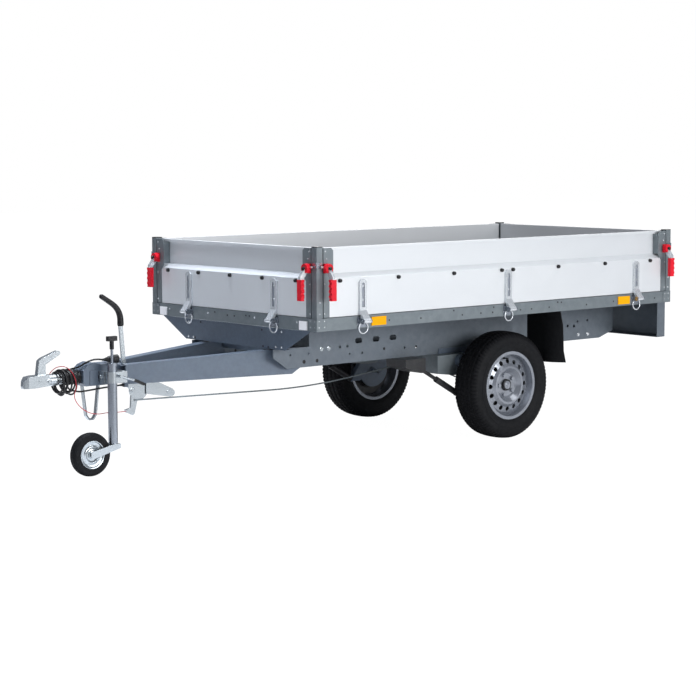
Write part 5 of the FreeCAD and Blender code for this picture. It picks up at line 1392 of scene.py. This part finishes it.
@dataclass
class Studio:
    """Camera, lights, floor and backdrop colour. Angles are in degrees."""
    place: tuple = (7.2037, 8.3858, 1.6754)
    yaw: float = -130.9378
    pitch: float = 6.0315
    roll: float = -0.1768
    lens: float = 103.64
    sensor: float = 36.0
    lamps: tuple = (Lamp("KeySide", (-1.5, 9.0, 2.3), (-0.5, 0, 0.8), (7, 3), 500),
                    Lamp("Top", (-1.6, 0.5, 7.0), (-0.8, 0, 0.5), (8, 5), 340),
                    Lamp("FrontFill", (9.0, 0.0, 3.0), (0.6, 0, 0.7), (3, 3), 20, (0.66, 0.76, 1.0)),
                    Lamp("FrontTop", (1.35, -0.1, 5.5), (1.05, -0.1, 0.9), (0.8, 2.0), 24,
                         (0.86, 0.91, 1.0), 40.0),
                    Lamp("BackFill", (-7.0, -6.0, 4.0), (-0.5, 0, 0.7), (6, 4), 220))
    sky: tuple = (0.84, 0.89, 1.0)
    sky_strength: float = 0.28
    floor_half: float = 30.0
    floor_glow: float = 1.10
    floor_glow_share: float = 0.90

    def camera(self) -> None:
        """Camera at the photograph's place and angle."""
        yaw, pitch, roll = (math.radians(a) for a in (self.yaw, self.pitch, self.roll))
        view = Vector((math.cos(pitch) * math.cos(yaw), math.cos(pitch) * math.sin(yaw), -math.sin(pitch)))
        right = view.cross(Vector((0, 0, 1))).normalized()
        up = right.cross(view)
        level = math.cos(roll) * right + math.sin(roll) * up
        upright = -math.sin(roll) * right + math.cos(roll) * up
        data = bpy.data.cameras.new("PhotoCamera")
        data.lens = self.lens
        data.sensor_width = self.sensor
        data.clip_end = 100.0
        camera = bpy.data.objects.new("PhotoCamera", data)
        matrix = Matrix((level, upright, -view)).transposed().to_4x4()
        matrix.translation = Vector(self.place)
        camera.matrix_world = matrix
        bpy.context.scene.collection.objects.link(camera)
        bpy.context.scene.camera = camera

    def blend(self, shader: Shader, share: object, lit: bpy.types.Node, bright: bpy.types.Node,
              leave: bpy.types.Node) -> None:
        """Joins what lights the object and what the camera sees.

        Args:
            shader: the builder of the tree.
            share: how much the camera's own part counts.
            lit: the shader that light rays meet.
            bright: the shader that the camera sees.
            leave: the tree's output node.
        """
        both = shader.add("MixShader")
        shader.links.new(share, both.inputs[0])
        shader.links.new(lit.outputs[0], both.inputs[1])
        shader.links.new(bright.outputs[0], both.inputs[2])
        shader.links.new(both.outputs[0], leave.inputs["Surface"])

    def build(self) -> None:
        """Lights the scene and lays the floor."""
        for lamp in self.lamps:
            lamp.build()
        world = bpy.data.worlds.new("Studio")
        world.use_nodes = True
        shader = Shader(world.node_tree)
        shader.nodes.clear()
        seen = shader.add("LightPath").outputs["Is Camera Ray"]
        soft = shader.add("Background", Color=self.sky, Strength=self.sky_strength)
        white = shader.add("Background", Color=(1.0, 1.0, 1.0), Strength=1.0)
        self.blend(shader, seen, soft, white, shader.nodes.new("ShaderNodeOutputWorld"))
        bpy.context.scene.world = world
        bpy.context.scene.view_settings.view_transform = "Standard"
        self.floor()

    def floor(self) -> None:
        """Plain pale floor, which the camera sees as almost white."""
        far = self.floor_half
        mesh = bpy.data.meshes.new("studio_floor")
        corners = [(-far, -far, 0), (far, -far, 0), (far, far, 0), (-far, far, 0)]
        mesh.from_pydata(corners, [], [(0, 1, 2, 3)])
        material = bpy.data.materials.new("PaleFloor")
        material.use_nodes = True
        shader = Shader(material.node_tree)
        shader.nodes.clear()
        seen = shader.add("LightPath").outputs["Is Camera Ray"]
        place = shader.add("TexCoord").outputs["Object"]
        grain = shader.add("TexNoise", Vector=place, Scale=3.0, Detail=2.0).outputs[0]
        pale = shader.mix(grain, (0.86, 0.86, 0.87), (0.90, 0.90, 0.90))
        matt = shader.add("BsdfDiffuse", Color=pale)
        bright = shader.add("Emission", Color=(1.0, 1.0, 1.0), Strength=self.floor_glow)
        share = shader.math("MULTIPLY", seen, self.floor_glow_share)
        self.blend(shader, share, matt, bright, shader.nodes.new("ShaderNodeOutputMaterial"))
        mesh.materials.append(material)
        floor = bpy.data.objects.new("studio_floor", mesh)
        bpy.context.scene.collection.objects.link(floor)


def paint_frame(paints: Paintbox) -> None:
    """Gives each frame node its finish: its slot's own, or the one that OTHER_FINISH names.

    Args:
        paints: where the materials come from.
    """
    sharp_from = math.radians(30)
    slots = {row["node"]: row["material_slot"] for row in frame["record"]["subparts"]}
    for name, obj in frame["nodes"].items():
        material = paints.get(OTHER_FINISH.get(name, slots[name]))
        obj.data.materials.clear()
        obj.data.materials.append(material)
        obj.data.shade_smooth()
        obj.data.set_sharp_from_angle(angle=sharp_from)


# Places of the small parts along the drop sides: back from the bed's front, and out from its middle
LONG_KNOBS = (0.154, 0.556, 0.956, 1.317, 1.404, 1.765, 2.153, 2.545)
LONG_STRAPS = (0.306, 1.366, 2.420)
WIDE_KNOBS = (-0.559, -0.281, -0.004, 0.270, 0.543)
WIDE_STRAPS = (-0.367, 0.367)


def main() -> None:
    """Builds the whole scene."""
    logging.basicConfig(level=logging.INFO)
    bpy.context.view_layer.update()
    studio = Studio()
    studio.camera()
    paints = Paintbox()
    shop = Workshop(paints)
    hitch = Hitch(shop)
    hitch.cords()
    paint_frame(paints)
    hitch.build()
    for side in ("left", "right"):
        RoadWheel(shop, side).build()
    JockeyWheel(shop).build()
    knobs = tuple(FRONT_X - back for back in LONG_KNOBS)
    straps = tuple(FRONT_X - back for back in LONG_STRAPS)
    for side in ("left", "right"):
        DropSide(shop, side, knobs, straps).build()
    for side in ("front", "rear"):
        DropSide(shop, side, WIDE_KNOBS, WIDE_STRAPS).build()
    BedTrim(shop).build()
    RearLamps(shop).build()
    studio.build()
    bpy.context.view_layer.update()


if __name__ == "__main__":
    main()
